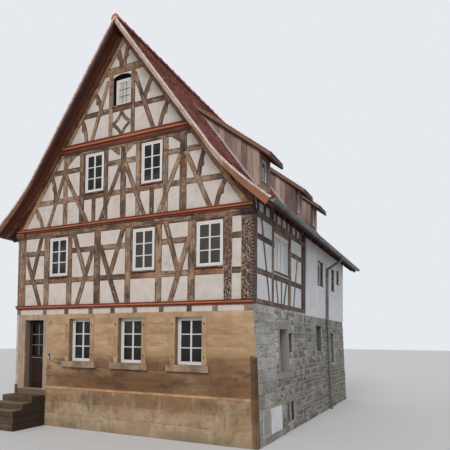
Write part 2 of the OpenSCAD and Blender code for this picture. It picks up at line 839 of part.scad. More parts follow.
module gable_timbers(g = 0) {
    difference() {
        rect(-half_w - 1, half_w + 1, gable_z, ridge_z);
        under_slopes(roof_t + rafter_w + g);
    }
    for (p = gposts) rect(p[0] - p[1] / 2 - g, p[0] + p[1] / 2 + g, gable_z - 1, mould_z);
    for (p = gstuds) rect(p[0] - p[1] / 2 - g, p[0] + p[1] / 2 + g, gable_z - 1, g_low);
    rect(-half_w, half_w, g_low - rail_h / 2 - g, g_low + rail_h / 2 + g);
    rect(-half_w, half_w, mould_z - gable_head_h - g, mould_z + 1);
    for (r = g_up_rails) rect(r[0], r[1], g_up - rail_h / 2 - g, g_up + rail_h / 2 + g);
    for (u = awin) let (w = u[1] / 2 + jamb_timber / 2 + g) rect(u[0] - w, u[0] + w, g_low, mould_z);
    intersection() {
        rect(-half_w, half_w, gable_z - 1, mould_z + 1);
        union() {
            for (b = gable_braces) bar(in_gable(b[0]), in_gable(b[1]), gable_brace_w, brace_run, g);
            for (b = gable_curved) nosed_brace(in_gable(b[0]), in_gable(b[1]), gable_brace_w, g);
        }
    }
    for (k = knees) knee(k, g);
    rect(-half_w, half_w, mould_z, peak_z);
    for (p = tposts) rect(p[0] - p[1] / 2 - g, p[0] + p[1] / 2 + g, peak_z - 1, t_collar);
    rect(-half_w, half_w, t_rail - rail_h / 2 - g, t_rail + rail_h / 2 + g);
    rect(-half_w, half_w, t_collar - collar_t / 2 - g, t_collar + collar_t / 2 + g);
    intersection() {
        rect(-half_w, half_w, peak_z - 1, ridge_z);
        union() {
            for (b = top_braces) bar(in_top(b[0]), in_top(b[1]), gable_brace_w, brace_run, g);
            for (b = top_curved) nosed_brace(in_top(b[0]), in_top(b[1]), gable_brace_w, g);
        }
    }
    diamond(g);
}

// Triangular knee under the gable's moulded beam, from its outer point to the post
module knee(k, g) {
    h = abs(k[1] - k[0]);
    polygon([[k[0] + sign(k[0] - k[1]) * g * 3, mould_z + 1], [k[1], mould_z + 1],
        [k[1], mould_z - h - g * 3]]);
}

module gable_windows() {
    for (u = awin) rect(u[0] - u[1] / 2, u[0] + u[1] / 2, awin_sill, awin_sill + awin_h);
    top_window_hole();
}

module beam_slot() {
    intersection() {
        rect(-half_w, half_w, mould_z, peak_z);
        under_slopes(roof_t + rafter_w);
    }
}

module gable_lattice() {
    panel(0, timber_t) difference() {
        intersection() {
            gable_outline();
            gable_timbers();
        }
        gable_windows();
        beam_slot();
    }
    eave_boards();
}

module gable_infill() {
    panel(panel_recess, timber_t - panel_recess) difference() {
        gable_outline();
        gable_timbers(panel_gap);
        gable_windows();
    }
}

module gable_frame() {
    color("#8a6f57") placed() gable_lattice();
}

module gable_panels() {
    color("#dcd3c7") placed() gable_infill();
}

module rear_frame() {
    color("#8a6f57") placed() on_wall("rear") union() {
        storey_frame();
        gable_lattice();
    }
}

module rear_panels() {
    color("#dcd3c7") placed() on_wall("rear") {
        storey_panels();
        gable_infill();
    }
}

module gable_linings() {
    color("#e8e2d8") placed() both_gables() {
        panel(timber_t, lining_t) difference() {
            rect(-half_w + corner_w, half_w - corner_w, stone_h + deck_t, frame_top);
            storey_windows();
        }
        panel(timber_t, lining_t) difference() {
            intersection() {
                rect(-half_w + timber_t, half_w - timber_t, frame_top + deck_t, mould_z);
                under_roof(roof_t);
            }
            gable_windows();
        }
        panel(timber_t, lining_t) difference() {
            intersection() {
                rect(-half_w, half_w, mould_z + deck_t, ridge_z);
                under_roof(roof_t);
            }
            gable_windows();
        }
    }
}

// Side walls above the stone storey

side_top = eave_z + 600;
side_posts = [[0.305 * bay_d, 0.9 * post_w], [0.635 * bay_d, 1.05 * post_w],
    [bay_d - end_post_w / 2, end_post_w]];
side_rails = [rail_up, rail_low];
side_sill_h = 130;
// Braces and studs under the bay window: share of the bay's length, height
side_struts = [for (b = [
    [[0.117, plate_z], [0.251, frame_z]], [[0.799, rail_up], [0.709, side_stone_h]],
    [[0.358, rail_low], [0.408, side_stone_h]], [[0.463, rail_low], [0.463, side_stone_h]],
    [[0.565, rail_low], [0.502, side_stone_h]], [[0.6025, rail_low], [0.6025, side_stone_h]]])
    [for (p = b) [p.x * bay_d, p.y]]];
strut_w = 100;
joist_heads = 10;
joist_head_w = 180;

module side_outline() {
    difference() {
        rect(timber_t, bay_d, side_stone_h, side_top);
        rect(0, corner_d, frame_z, frame_top);
    }
}

module side_timbers(g = 0) {
    for (p = side_posts) rect(p[0] - p[1] / 2 - g, p[0] + p[1] / 2 + g, side_stone_h - 1, side_top + 1);
    rect(0, bay_d + 1, side_stone_h - 1, side_stone_h + side_sill_h + g);
    rect(0, bay_d + 1, plate_z - g, frame_top + g);
    for (z = side_rails) rect(0, bay_d, z - rail_h / 2 - g, z + rail_h / 2 + g);
    for (i = [0 : joist_heads - 1]) let (y = bay_d * (i + 0.65) / joist_heads)
        rect(y - joist_head_w / 2 - g, y + joist_head_w / 2 + g, frame_top - 1, side_top + 1);
    for (b = side_struts) bar(b[0], b[1], strut_w, brace_run, g);
    rect(bwin_y - bwin_w / 2 - jamb_timber, bwin_y + bwin_w / 2 + jamb_timber, bwin_sill + bwin_h, plate_z);
}

module bay_hole() {
    rect(bwin_y - bwin_w / 2, bwin_y + bwin_w / 2, bwin_sill, bwin_sill + bwin_h);
}

module roof_clip() {
    intersection() {
        children();
        panel(0, house_d) under_roof(roof_t);
    }
}

module side_frames() {
    color("#6e5846") placed() roof_clip() both_sides() panel(0, timber_t) difference() {
        intersection() {
            side_outline();
            side_timbers();
        }
        bay_hole();
    }
}

module side_panels() {
    color("#dcd3c7") placed() roof_clip() both_sides()
        panel(panel_recess, timber_t - panel_recess) difference() {
            side_outline();
            side_timbers(panel_gap);
            bay_hole();
        }
}

module plaster_holes() {
    for (g = plaster_windows) rect(g[0] - g[2] / 2, g[0] + g[2] / 2, g[1], g[1] + g[3]);
}

plaster_lap = 60;
// Room behind that lap for the right wall's lean
plaster_gap = wall_batter * plaster_lap / (side_stone_h + plinth_h);

// Plastered part of the side walls, whose outer coat laps over the stonework
module plaster_walls() {
    color("#e4e0d8") placed() roof_clip() both_sides()
        difference() {
            union() {
                panel(0, timber_t) rect(bay_d, house_d - timber_t, side_stone_h, side_top);
                translate([bay_d, 0, 0]) rotate([90, 0, 90]) linear_extrude(house_d - bay_d) polygon([
                    [0, side_top], [0, side_stone_h], [-plaster_gap, side_stone_h - plaster_lap],
                    [-plaster_out, side_stone_h - plaster_lap], [-plaster_out, side_top]]);
            }
            panel(-through / 2, through) plaster_holes();
            panel(0, timber_t) rect(house_d - corner_d, house_d, frame_z, frame_top);
        }
}

module side_linings() {
    color("#e8e2d8") placed() both_sides() panel(timber_t, lining_t) difference() {
        rect(corner_d, house_d - corner_d, side_stone_h, frame_top);
        bay_hole();
        plaster_holes();
    }
}

// Roof

module roof_section() {
    polygon(concat(slope_line(0), reversed(slope_line(roof_t))));
}

module right_slope() {
    panel(-verge_out, house_d + 2 * verge_out) roof_section();
}

dormer_y = [for (k = [0.228, 0.558, 0.76]) k * house_d];
dormer_front = half_w - dormer_set;
dormer_edge = dormer_front + dormer_out;
dormer_fall = tan(dormer_pitch);
dormer_dz = dormer_t / cos(dormer_pitch);
dormer_foot_z = ridge_z - dormer_front * tan(roof_pitch);
dormer_edge_z = dormer_foot_z + dormer_face + dormer_dz - dormer_out * dormer_fall;
// Where the dormer's top and bottom faces meet the main slope
dormer_level = dormer_edge_z + dormer_edge * dormer_fall;
// Open joint between a dormer's walls and its roof
dormer_joint = 0.3;
meet_top = (ridge_z - dormer_level) / (tan(roof_pitch) - dormer_fall);
meet_low = (ridge_z - dormer_level + dormer_dz) / (tan(roof_pitch) - dormer_fall);
hole_top = meet_low + 60;

module roof_right() {
    color("#6b3236") placed() difference() {
        right_slope();
        for (y = dormer_y) translate([hole_top, y - dormer_w / 2 + cheek_t, 0])
            cube([dormer_front - cheek_t - hole_top, dormer_w - 2 * cheek_t, ridge_z]);
    }
}

module roof_left() {
    color("#6b3236") placed() mirror([1, 0, 0]) right_slope();
}

module ridge_tiles() {
    color("#c0694a") placed() panel(-verge_out, house_d + 2 * verge_out) difference() {
        translate([0, ridge_z - 20]) circle(ridge_r);
        under_roof(0);
    }
}

// Verge board: follows the roof line, wider towards the eave
module verge_section() {
    top = 15;
    low = roof_t + 10;
    edge = concat([[0, ridge_z - low / cos(roof_pitch)]],
        [for (i = [0 : flare_steps]) let (s = i / flare_steps)
            along(s) + (low + (verge_w - low) * s) * inward(heading(s))]);
    polygon(concat(slope_line(top), reversed(edge)));
}

module verge_boards() {
    color("#a8683c") placed() both_gables() for (k = [0, 1]) mirror([k, 0, 0])
        panel(-verge_d, verge_t) verge_section();
}

feet_count = 13;
foot_w = 110;
foot_h = 130;

module rafter_feet() {
    pitch_y = (house_d - 400) / (feet_count - 1);
    color("#4a3528") placed() for (k = [0, 1], i = [0 : feet_count - 1]) mirror([k, 0, 0])
        panel(200 + i * pitch_y - foot_w / 2, foot_w) intersection() {
            polygon(concat(slope_line(roof_t), reversed(slope_line(roof_t + foot_h))));
            rect(half_w + plaster_out, eave_x - 140, 0, ridge_z);
        }
}

gutter_z = eave_z - gutter_drop;
gutter_x = eave_x - gutter_drop * tan(eave_pitch) + gutter_r;

module gutters() {
    color("#5f6668") placed() for (k = [0, 1]) mirror([k, 0, 0])
        panel(-verge_out, house_d + 2 * verge_out) translate([gutter_x, gutter_z]) difference() {
            circle(gutter_r);
            circle(gutter_r - zinc_t);
            rect(-gutter_r - 1, gutter_r + 1, 0, gutter_r + 1);
        }
}

pipe_elbow = 1.06;

// A round pipe through the points of a list, with a collar at each bend
module pipe(points, r) {
    for (i = [0 : len(points) - 2]) {
        d = points[i + 1] - points[i];
        translate(points[i]) rotate([0, acos(d.z / norm(d)), atan2(d.y, d.x)]) cylinder(r = r, h = norm(d));
    }
    for (i = [1 : len(points) - 2]) translate(points[i]) sphere(r * pipe_elbow);
}

// Heights of the pipe clips above the side walls' stone and below the neck
clip_low = 300;
clip_drop = 700;

module downpipes() {
    wall = half_w + plaster_out + pipe_r + 20;
    neck = gutter_z - gutter_r;
    color("#6a7072") placed() for (k = [0, 1]) mirror([k, 0, 0]) {
        foot = wall + (k == 0 ? wall_batter : 0);
        pipe([[gutter_x, pipe_y, neck], [gutter_x, pipe_y, neck - 90], [wall, pipe_y, neck - 420],
            [wall, pipe_y, side_stone_h - plaster_lap], [foot, pipe_y, 250 - plinth_h],
            [foot, pipe_y, -plinth_h]], pipe_r);
        for (z = [side_stone_h + clip_low, neck - clip_drop])
            translate([half_w + plaster_out, pipe_y - 15, z]) cube([20 + pipe_r, 30, 30]);
    }
}

// Dormers

module dormer_side_outline() {
    low = dormer_front;
    polygon([[meet_low - 20, ridge_z - (meet_low - 20) * tan(roof_pitch) - roof_t / 2],
        [low, ridge_z - low * tan(roof_pitch) - roof_t / 2],
        [low, dormer_level - low * dormer_fall - dormer_dz - dormer_joint],
        [meet_low - 20, dormer_level - (meet_low - 20) * dormer_fall - dormer_dz - dormer_joint]]);
}

module dormer_shell() {
    difference() {
        panel(-dormer_w / 2, dormer_w) dormer_side_outline();
        panel(-dormer_w / 2 + cheek_t, dormer_w - 2 * cheek_t)
            rect(0, dormer_front - cheek_t, 0, ridge_z);
        translate([0, -dwin_w / 2, dormer_win_z]) cube([through * 3, dwin_w, dwin_h]);
    }
}

dormer_head = dormer_level - dormer_front * dormer_fall - dormer_dz;
dormer_win_z = dormer_head - 130 - dwin_h;

module dormer_walls() {
    color("#8a7468") placed() difference() {
        for (y = dormer_y) translate([0, y, 0]) dormer_shell();
        panel(-verge_out, house_d + 2 * verge_out) under_roof(0);
    }
}

module dormer_roofs() {
    start = meet_top - 130;
    start_z = dormer_level - start * dormer_fall;
    color("#6b3236") placed() difference() {
        for (y = dormer_y) panel(y - dormer_w / 2 - dormer_side, dormer_w + 2 * dormer_side)
            polygon([[start, start_z], [dormer_edge, dormer_edge_z],
                [dormer_edge, dormer_edge_z - dormer_dz], [start, start_z - dormer_dz]]);
        panel(-verge_out, house_d + 2 * verge_out) under_roof(0);
    }
}

module dormer_windows() {
    color("#e3e3e0") placed() for (y = dormer_y) translate([dormer_front - 75, y, dormer_win_z]) {
        difference() {
            translate([0, -dwin_w / 2, 0]) cube([sash_t, dwin_w, dwin_h]);
            translate([-1, -dwin_w / 2 + sash_w, sash_w])
                cube([sash_t + 2, dwin_w - 2 * sash_w, dwin_h - 2 * sash_w]);
        }
        translate([(sash_t - glass_t) / 2, -dwin_w / 2 + sash_w, sash_w])
            cube([glass_t, dwin_w - 2 * sash_w, dwin_h - 2 * sash_w]);
    }
}

// Windows

module ground_windows() {
    color("#e3e3e0") placed() for (g = concat(ground_list, cellar_list)) window_frame(g);
}

module ground_glass() {
    color("#22262a") placed() for (g = concat(ground_list, cellar_list)) window_glass(g);
}

module upper_windows() {
    color("#e3e3e0") placed() for (g = concat(upper_gable_list, upper_side_list)) window_frame(g);
}

module upper_glass() {
    color("#22262a") placed() for (g = concat(upper_gable_list, upper_side_list)) window_glass(g);
}

twin_recess = 90;

module attic_windows() {
    color("#e3e3e0") placed() {
        for (g = attic_list) window_frame(g);
        both_gables() panel(twin_recess, sash_t) difference() {
            top_window_hole();
            top_window_hole(-sash_w);
        }
    }
}

module attic_glass() {
    color("#22262a") placed() {
        for (g = attic_list) window_glass(g);
        both_gables() panel(twin_recess + (sash_t - glass_t) / 2, glass_t) top_window_hole(-sash_w);
    }
}

// Front door

leaf_w = door_w - 2 * leaf_gap - swing_gap;
leaf_bottom = -floor_drop + leaf_gap;
leaf_top = door_top - leaf_gap;
// Heights of the leaf's middle rail and of its handle above its foot
leaf_mid_h = 900;
handle_h = 1040;
leaf_mid = leaf_bottom + leaf_mid_h;

module leaf_lights() {
    rect(leaf_x + leaf_frame, leaf_x + leaf_w - leaf_frame, leaf_mid + leaf_frame, leaf_top - leaf_frame);
}

leaf_foot = 180;
panel_rim = 60;

// Frame of stiles and rails with a raised panel below and glass above
module front_door() {
    x0 = leaf_x + leaf_frame;
    x1 = leaf_x + leaf_w - leaf_frame;
    z0 = leaf_bottom + leaf_foot;
    color("#3b2318") placed() union() {
        panel(leaf_y, leaf_t) difference() {
            rect(leaf_x, leaf_x + leaf_w, leaf_bottom, leaf_top);
            leaf_lights();
            rect(x0, x1, z0, leaf_mid);
        }
        panel(leaf_y + leaf_t * 0.3, leaf_t * 0.4) rect(x0 - 1, x1 + 1, z0 - 1, leaf_mid + 1);
        panel(leaf_y + leaf_t * 0.15, leaf_t * 0.7)
            rect(x0 + panel_rim, x1 - panel_rim, z0 + panel_rim, leaf_mid - panel_rim);
    }
}

module door_glass() {
    color("#22262a") placed() panel(leaf_y + (leaf_t - glass_t) / 2, glass_t) leaf_lights();
}

hinge_z = [leaf_bottom + hinge_inset, leaf_top - hinge_inset];
hinge_seat = 0.3;

// Hinge half on the jamb: plate, lower barrel and pin
module door_hinges() {
    color("#4a4a48") placed() for (z = hinge_z) translate([hinge.x, hinge.y, z]) {
        translate([0, 0, -hinge_h]) cylinder(r = barrel_r, h = hinge_h);
        translate([0, 0, -1]) cylinder(r = pin_r, h = hinge_h);
        translate([-28, -barrel_r, -hinge_h]) cube([28, 4, hinge_h]);
    }
}

// Lever, plates and the leaf's halves of the hinges
module door_fittings() {
    z = leaf_bottom + handle_h;
    x = leaf_x + leaf_w - leaf_frame / 2;
    color("#8a8a86") placed() {
        for (k = [0, 1]) translate([x, leaf_y + leaf_t / 2, z]) mirror([0, k, 0]) {
            translate([-20, -leaf_t / 2 - 6, -110]) cube([40, 6, 220]);
            translate([0, -leaf_t / 2 - 5, 0]) rotate([90, 0, 0]) cylinder(r = 8, h = 45);
            translate([12, -leaf_t / 2 - 44, 0]) rotate([0, -90, 0]) cylinder(r = 10, h = 122);
        }
        for (h = hinge_z)
            translate([hinge.x, hinge.y, h + hinge_seat]) difference() {
                union() {
                    cylinder(r = barrel_r, h = hinge_h);
                    translate([0, -barrel_r, 0]) cube([40, 4, hinge_h]);
                }
                translate([0, 0, -1]) cylinder(r = pin_r + pin_gap, h = hinge_h + 2);
            }
    }
}

front_plinth();
front_wall();
front_wall_over_door();
door_surround();
right_wall();
left_wall();
rear_wall();
steps();
window_surrounds();
window_sills();
ground_floor();
upper_floor();
attic_floor();
collar_floor();
joist_ends();
joist_panels();
lower_moulding();
upper_moulding();
gable_moulding();
corner_posts();
front_frame();
front_panels();
gable_frame();
gable_panels();
rear_frame();
rear_panels();
gable_linings();
side_frames();
side_panels();
plaster_walls();
side_linings();
roof_right();
roof_left();
ridge_tiles();
verge_boards();
rafter_feet();
gutters();
downpipes();
dormer_walls();
dormer_roofs();
dormer_windows();
ground_windows();
ground_glass();
upper_windows();
upper_glass();
attic_windows();
attic_glass();
door_hinges();
front_door();
door_glass();
door_fittings();
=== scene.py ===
import math
import random

import bmesh
import bpy
from mathutils import Matrix, Vector, noise


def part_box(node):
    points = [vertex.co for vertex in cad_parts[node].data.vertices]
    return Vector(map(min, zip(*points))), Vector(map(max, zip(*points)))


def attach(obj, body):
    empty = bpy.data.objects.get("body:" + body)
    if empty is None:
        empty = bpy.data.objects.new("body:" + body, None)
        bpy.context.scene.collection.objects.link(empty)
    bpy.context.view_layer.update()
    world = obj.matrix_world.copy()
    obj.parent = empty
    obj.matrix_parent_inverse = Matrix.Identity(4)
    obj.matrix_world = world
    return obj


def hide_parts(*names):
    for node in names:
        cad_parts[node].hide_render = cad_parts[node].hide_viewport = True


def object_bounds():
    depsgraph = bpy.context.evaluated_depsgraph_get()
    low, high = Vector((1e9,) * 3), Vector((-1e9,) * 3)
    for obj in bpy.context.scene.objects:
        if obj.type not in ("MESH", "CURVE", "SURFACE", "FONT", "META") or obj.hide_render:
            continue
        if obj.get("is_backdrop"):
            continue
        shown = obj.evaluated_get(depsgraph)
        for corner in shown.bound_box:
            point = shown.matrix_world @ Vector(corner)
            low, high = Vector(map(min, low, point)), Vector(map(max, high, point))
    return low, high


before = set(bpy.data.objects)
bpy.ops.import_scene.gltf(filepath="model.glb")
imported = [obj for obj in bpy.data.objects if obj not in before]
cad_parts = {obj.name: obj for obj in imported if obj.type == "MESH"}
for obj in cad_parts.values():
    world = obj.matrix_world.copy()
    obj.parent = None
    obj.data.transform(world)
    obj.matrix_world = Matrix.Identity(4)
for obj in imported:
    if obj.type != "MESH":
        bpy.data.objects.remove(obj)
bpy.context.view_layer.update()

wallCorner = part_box("front_wall")[0]
origin = Vector((0, wallCorner.y, wallCorner.z))  # middle of the front wall's face, on the plinth line

# Metres, counted from the plinth line and the front face; the same values as the solids have
house = {
    "halfWidth": 4.03, "depth": 11.1, "ground": -1.18, "stoneTop": 2.18, "sideStoneTop": 2.36,
    "beamLow": 2.33, "storey": 2.46, "plate": 4.56, "storeyTop": 4.74, "gable": 4.87,
    "gableBeam": 7.02, "peak": 7.27, "timberBay": 4.78, "verge": 0.43, "lean": 0.16 / 3.54, "roofAngle": 54,
}
halfWidth, depth, lean, verge = (house[k] for k in ("halfWidth", "depth", "lean", "verge"))
bay = halfWidth / 4
roofAngle = math.radians(house["roofAngle"])
roofFall = math.tan(roofAngle)
random.seed(11)


def toLinear(code, alpha=1.0):
    parts = [int(code[i:i + 2], 16) / 255 for i in (1, 3, 5)]
    return [c / 12.92 if c <= 0.04045 else ((c + 0.055) / 1.055) ** 2.4 for c in parts] + [alpha]


# A node or a socket among the given values is linked, all else is set as a property or an input
def addNode(tree, kind, given=()):
    node = tree.nodes.new(kind)
    for key, value in dict(given).items():
        if isinstance(value, bpy.types.Node):
            value = value.outputs[0]
        if isinstance(value, bpy.types.NodeSocket):
            tree.links.new(value, node.inputs[key])
        elif isinstance(key, str) and hasattr(node, key):
            setattr(node, key, value)
        else:
            node.inputs[key].default_value = value
    return node


def calculate(tree, operation, *terms, kind="ShaderNodeMath"):
    return addNode(tree, kind, {"operation": operation, **dict(enumerate(terms))})


def addObject(name, data):
    thing = bpy.data.objects.new(name, data)
    scene.collection.objects.link(thing)
    return thing


print("camera, floor and light")
view = {
    "place": (8.225, -15.798, 2.624), "yaw": -0.4448, "pitch": 0.0399, "roll": 0.0088, "lens": 37.37,
    "shift": (0.00876, 0.2141), "floor": "#D2D1CE", "sky": "#E6EAEF", "shade": "#F2F6FF", "ambient": 0.55,
    "sun": 1.75, "sunFrom": (0.16, -0.80, 0.55), "sunSpread": 34,
}
scene = bpy.context.scene
scene.view_settings.view_transform = "Standard"
cam = addObject("camera", bpy.data.cameras.new("camera"))
cam.data.lens, cam.data.sensor_width, cam.data.clip_end = view["lens"], 36, 300
cam.data.shift_x, cam.data.shift_y = view["shift"]
(cy, sy), (cp, sp), (cr, sr) = ((math.cos(view[a]), math.sin(view[a])) for a in ("yaw", "pitch", "roll"))
ahead, right = Vector((sy * cp, cy * cp, sp)), Vector((cy, -sy, 0))
up = right.cross(ahead)
right, up = right * cr + up * sr, up * cr - right * sr
cam.matrix_world = Matrix.Translation(view["place"]) @ Matrix((right, up, -ahead)).transposed().to_4x4()
scene.camera = cam

sun = addObject("softSun", bpy.data.lights.new("softSun", "SUN"))
sun.data.energy, sun.data.angle = view["sun"], math.radians(view["sunSpread"])
sun.matrix_world = Vector(view["sunFrom"]).to_track_quat("Z", "Y").to_matrix().to_4x4()

scene.world = bpy.data.worlds.new("paleStudio")
scene.world.use_nodes = True
sky = scene.world.node_tree
sky.nodes.clear()
rays = addNode(sky, "ShaderNodeLightPath").outputs
mirrored = calculate(sky, "MAXIMUM", rays["Is Glossy Ray"], rays["Is Transmission Ray"])
seen = calculate(sky, "MAXIMUM", rays["Is Camera Ray"], mirrored)
lit = addNode(sky, "ShaderNodeBackground", {"Color": toLinear(view["shade"]), "Strength": view["ambient"]})
pale = addNode(sky, "ShaderNodeBackground", {"Color": toLinear(view["sky"]), "Strength": 1.0})
either = addNode(sky, "ShaderNodeMixShader", {0: seen, 1: lit, 2: pale})
addNode(sky, "ShaderNodeOutputWorld", {"Surface": either})

floorMesh = bpy.data.meshes.new("floor")
floorCorners = [(x, y, -0.002) for x, y in ((-90, -60), (90, -60), (90, 140), (-90, 140))]
floorMesh.from_pydata(floorCorners, [], [(0, 1, 2, 3)])
floorPaint = bpy.data.materials.new("paleFloorPaint")  # matt studio paint
floorPaint.use_nodes = True
floorInputs = floorPaint.node_tree.nodes["Principled BSDF"].inputs
floorInputs["Base Color"].default_value = toLinear(view["floor"])
floorInputs["Roughness"].default_value = 0.95
floorMesh.materials.append(floorPaint)
addObject("floor", floorMesh)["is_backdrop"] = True

print("finishes")


def mapped(tree, source, low, high, start, end, fade="LINEAR"):
    return addNode(tree, "ShaderNodeMapRange",
                   {"interpolation_type": fade, 0: source, 1: low, 2: high, 3: start, 4: end})


# A matt surface: noise on the grain, blotches and each piece's own tone pick its colour from the stops
def newFinish(name, colours, grain, rough, bump, onUv=False, tone=0.0,
              blotch=(1.0, 0.0), fine=0.0, metallic=0.0):
    finish = bpy.data.materials.new(name)
    finish.use_nodes = True
    tree = finish.node_tree
    tree.nodes.clear()
    shader = addNode(tree, "ShaderNodeBsdfPrincipled", {"Metallic": metallic})
    addNode(tree, "ShaderNodeOutputMaterial", {0: shader})
    place = addNode(tree, "ShaderNodeTexCoord").outputs
    drawn = addNode(tree, "ShaderNodeMapping", {"Scale": grain, 0: place["UV" if onUv else "Object"]})
    streaks = addNode(tree, "ShaderNodeTexNoise",
                      {"Scale": 1.0, "Detail": 7.0, "Roughness": 0.62, "Vector": drawn})
    wide = addNode(tree, "ShaderNodeTexNoise", {"Scale": blotch[0], "Detail": 4.0, "Vector": place["Object"]})
    own = addNode(tree, "ShaderNodeAttribute", {"attribute_name": "tone"}).outputs["Fac"]
    blotched = calculate(tree, "MULTIPLY_ADD", wide, blotch[1], streaks)
    toned = calculate(tree, "MULTIPLY_ADD", own, tone, blotched)
    ramp = addNode(tree, "ShaderNodeValToRGB", {0: calculate(tree, "SUBTRACT", toned, (blotch[1] + tone) / 2)})
    while len(ramp.color_ramp.elements) < len(colours):
        ramp.color_ramp.elements.new(0.5)
    for stop, (at, code) in zip(ramp.color_ramp.elements, colours):
        stop.position, stop.color = at, toLinear(code)
    height = streaks
    if fine:
        grit = addNode(tree, "ShaderNodeTexNoise", {"Scale": fine, "Detail": 3.0, "Vector": place["Object"]})
        height = calculate(tree, "MULTIPLY_ADD", grit, 0.35, streaks)
    dent = addNode(tree, "ShaderNodeBump", {"Strength": 1.0, "Distance": bump, "Height": height})
    shine = mapped(tree, streaks, 0.3, 0.7, *rough)
    for key, node in (("Base Color", ramp), ("Roughness", shine), ("Normal", dent)):
        tree.links.new(node.outputs[0], shader.inputs[key])
    return {"material": finish, "tree": tree, "shader": shader, "place": place, "colour": ramp.outputs[0]}


# Lays a colour over a finish where the mask, made by kind from the values, is 1
def overlay(parts, code, kind, *values):
    mask = kind(parts, *values)
    mix = addNode(parts["tree"], "ShaderNodeMix", {"data_type": "RGBA", "blend_type": "MIX", 0: mask,
                                                   6: parts["colour"], 7: toLinear(code)})
    parts["tree"].links.new(mix.outputs[2], parts["shader"].inputs["Base Color"])
    parts["colour"] = mix.outputs[2]


# 0 to strength where a noise on the grain (onUv) or on the object passes from low to high
def noiseMask(parts, scale, low, high, strength, onUv=False, detail=5.0, rough=0.6):
    tree = parts["tree"]
    drawn = addNode(tree, "ShaderNodeMapping", {"Scale": scale, 0: parts["place"]["UV" if onUv else "Object"]})
    patch = addNode(tree, "ShaderNodeTexNoise",
                    {"Scale": 1.0, "Detail": detail, "Roughness": rough, "Vector": drawn})
    return mapped(tree, patch, low, high, 0.0, strength)


# A soft band between two heights of the shared frame, times streaky noise that passes the two values of cut
def bandMask(parts, low, high, fade, strength, streak=(1, 1, 1), cut=(-1, 0)):
    tree = parts["tree"]
    level = addNode(tree, "ShaderNodeSeparateXYZ", {0: parts["place"]["Object"]}).outputs[2]
    rise = mapped(tree, level, low - fade, low + fade, 0.0, 1.0, "SMOOTHSTEP")
    fall = mapped(tree, level, high - fade, high + fade, 1.0, 0.0, "SMOOTHSTEP")
    streaks = noiseMask(parts, streak, *cut, strength, False, 6.0, 0.65)
    return calculate(tree, "MULTIPLY", calculate(tree, "MULTIPLY", rise, fall), streaks)


# 0 to strength across a plane, by how far the surface lies along a heading, times a second mask
def planeMask(parts, heading, low, high, strength, second=None):
    tree = parts["tree"]
    along = calculate(tree, "DOT_PRODUCT", parts["place"]["Object"], heading, kind="ShaderNodeVectorMath")
    mask = mapped(tree, along.outputs["Value"], low, high, 0.0, strength)
    return calculate(tree, "MULTIPLY", mask, second) if second else mask


# Rusty patches, rain-washed pale grain, dark blotches and drying cracks of old timber
def ageTimber(parts, cracks, pale, rust):
    for code, *mask in (("#84502F", (2.2, 2.2, 2.2), 0.50, 0.66, rust),
                        ("#B5A18B", (4, 16, 1), 0.54, 0.66, pale, True),
                        ("#3E2D21", (7, 7, 7), 0.52, 0.62, 0.62),
                        ("#20150D", (1.1, 24, 1), 0.57, 0.62, cracks, True)):
        overlay(parts, code, noiseMask, *mask)


toRight, toLeft, toRear, toFront = (1, 0, 0), (-1, 0, 0), (0, 1, 0), (0, -1, 0)
woodGrain = (1.6, 55, 1)  # rings show as streaks 18 mm apart, drawn a little coarse to show
# Weathered oak: silvery brown, open grain, matt
oak = newFinish(
    "weatheredOak", [(0.22, "#33231A"), (0.40, "#5E4534"), (0.52, "#7E614B"), (0.68, "#A0856C")],
    woodGrain, (0.75, 0.92), 0.004, True, 0.30, (2.6, 0.3))
# The same oak, greyer and darker, under the eaves and on the sides
darkOak = newFinish(
    "darkOak", [(0.26, "#33241B"), (0.42, "#5C493B"), (0.54, "#7B6756"), (0.70, "#988574")],
    woodGrain, (0.75, 0.92), 0.004, True, 0.26, (1.7, 0.12))
# Oil that has turned red, a little less matt
redOak = newFinish(
    "oiledRedOak", [(0.26, "#3E241A"), (0.42, "#6C3F2B"), (0.55, "#84543A"), (0.72, "#A27C5C")],
    woodGrain, (0.6, 0.85), 0.003, True, 0.2, (3.0, 0.35))
# Newer timber, still tan
tanOak = newFinish(
    "freshTanOak", [(0.28, "#6A4C36"), (0.44, "#976F50"), (0.56, "#B28964"), (0.72, "#C8A983")],
    woodGrain, (0.7, 0.88), 0.003, True, 0.2, (1.2, 0.1))
for timberParts, *age in ((oak, 0.8, 0.55, 0.5), (darkOak, 0.8, 0.25, 0.3), (redOak, 0.8, 0.2, 0.0),
                          (tanOak, 0.7, 0.4, 0.35)):
    ageTimber(timberParts, *age)
# Carved oak: dark hollows, arrises rubbed pale
carvedOak = newFinish(
    "carvedOak", [(0.20, "#1E130D"), (0.38, "#422C21"), (0.52, "#6F5340"), (0.72, "#A28A75"),
                  (0.86, "#C4B5A4")],
    (22, 22, 10), (0.7, 0.9), 0.002, False, 0.85, (2.0, 0.12))
# Painted shade: the right side face of the carved corner post is laid over with blue grey
overlay(carvedOak, "#3E3F45", planeMask, toRight, 4.012, 4.03, 0.5)
# Oil paint on carved beams, rubbed down to orange
beamPaint = newFinish(
    "rubbedBeamPaint", [(0.10, "#26130C"), (0.32, "#5E2F1E"), (0.50, "#8A4126"), (0.66, "#A04E2E"),
                        (0.82, "#AB6844")],
    (1.4, 40, 1), (0.62, 0.85), 0.0015, True, 0.75, (1.6, 0.3))
# Red-brown stain on sheltered boards
soffitWood = newFinish(
    "stainedSoffitBoards", [(0.28, "#2A100A"), (0.45, "#4A1F12"), (0.6, "#66301C"), (0.75, "#824A30")],
    (1.6, 45, 1), (0.6, 0.85), 0.002, True, 0.2)
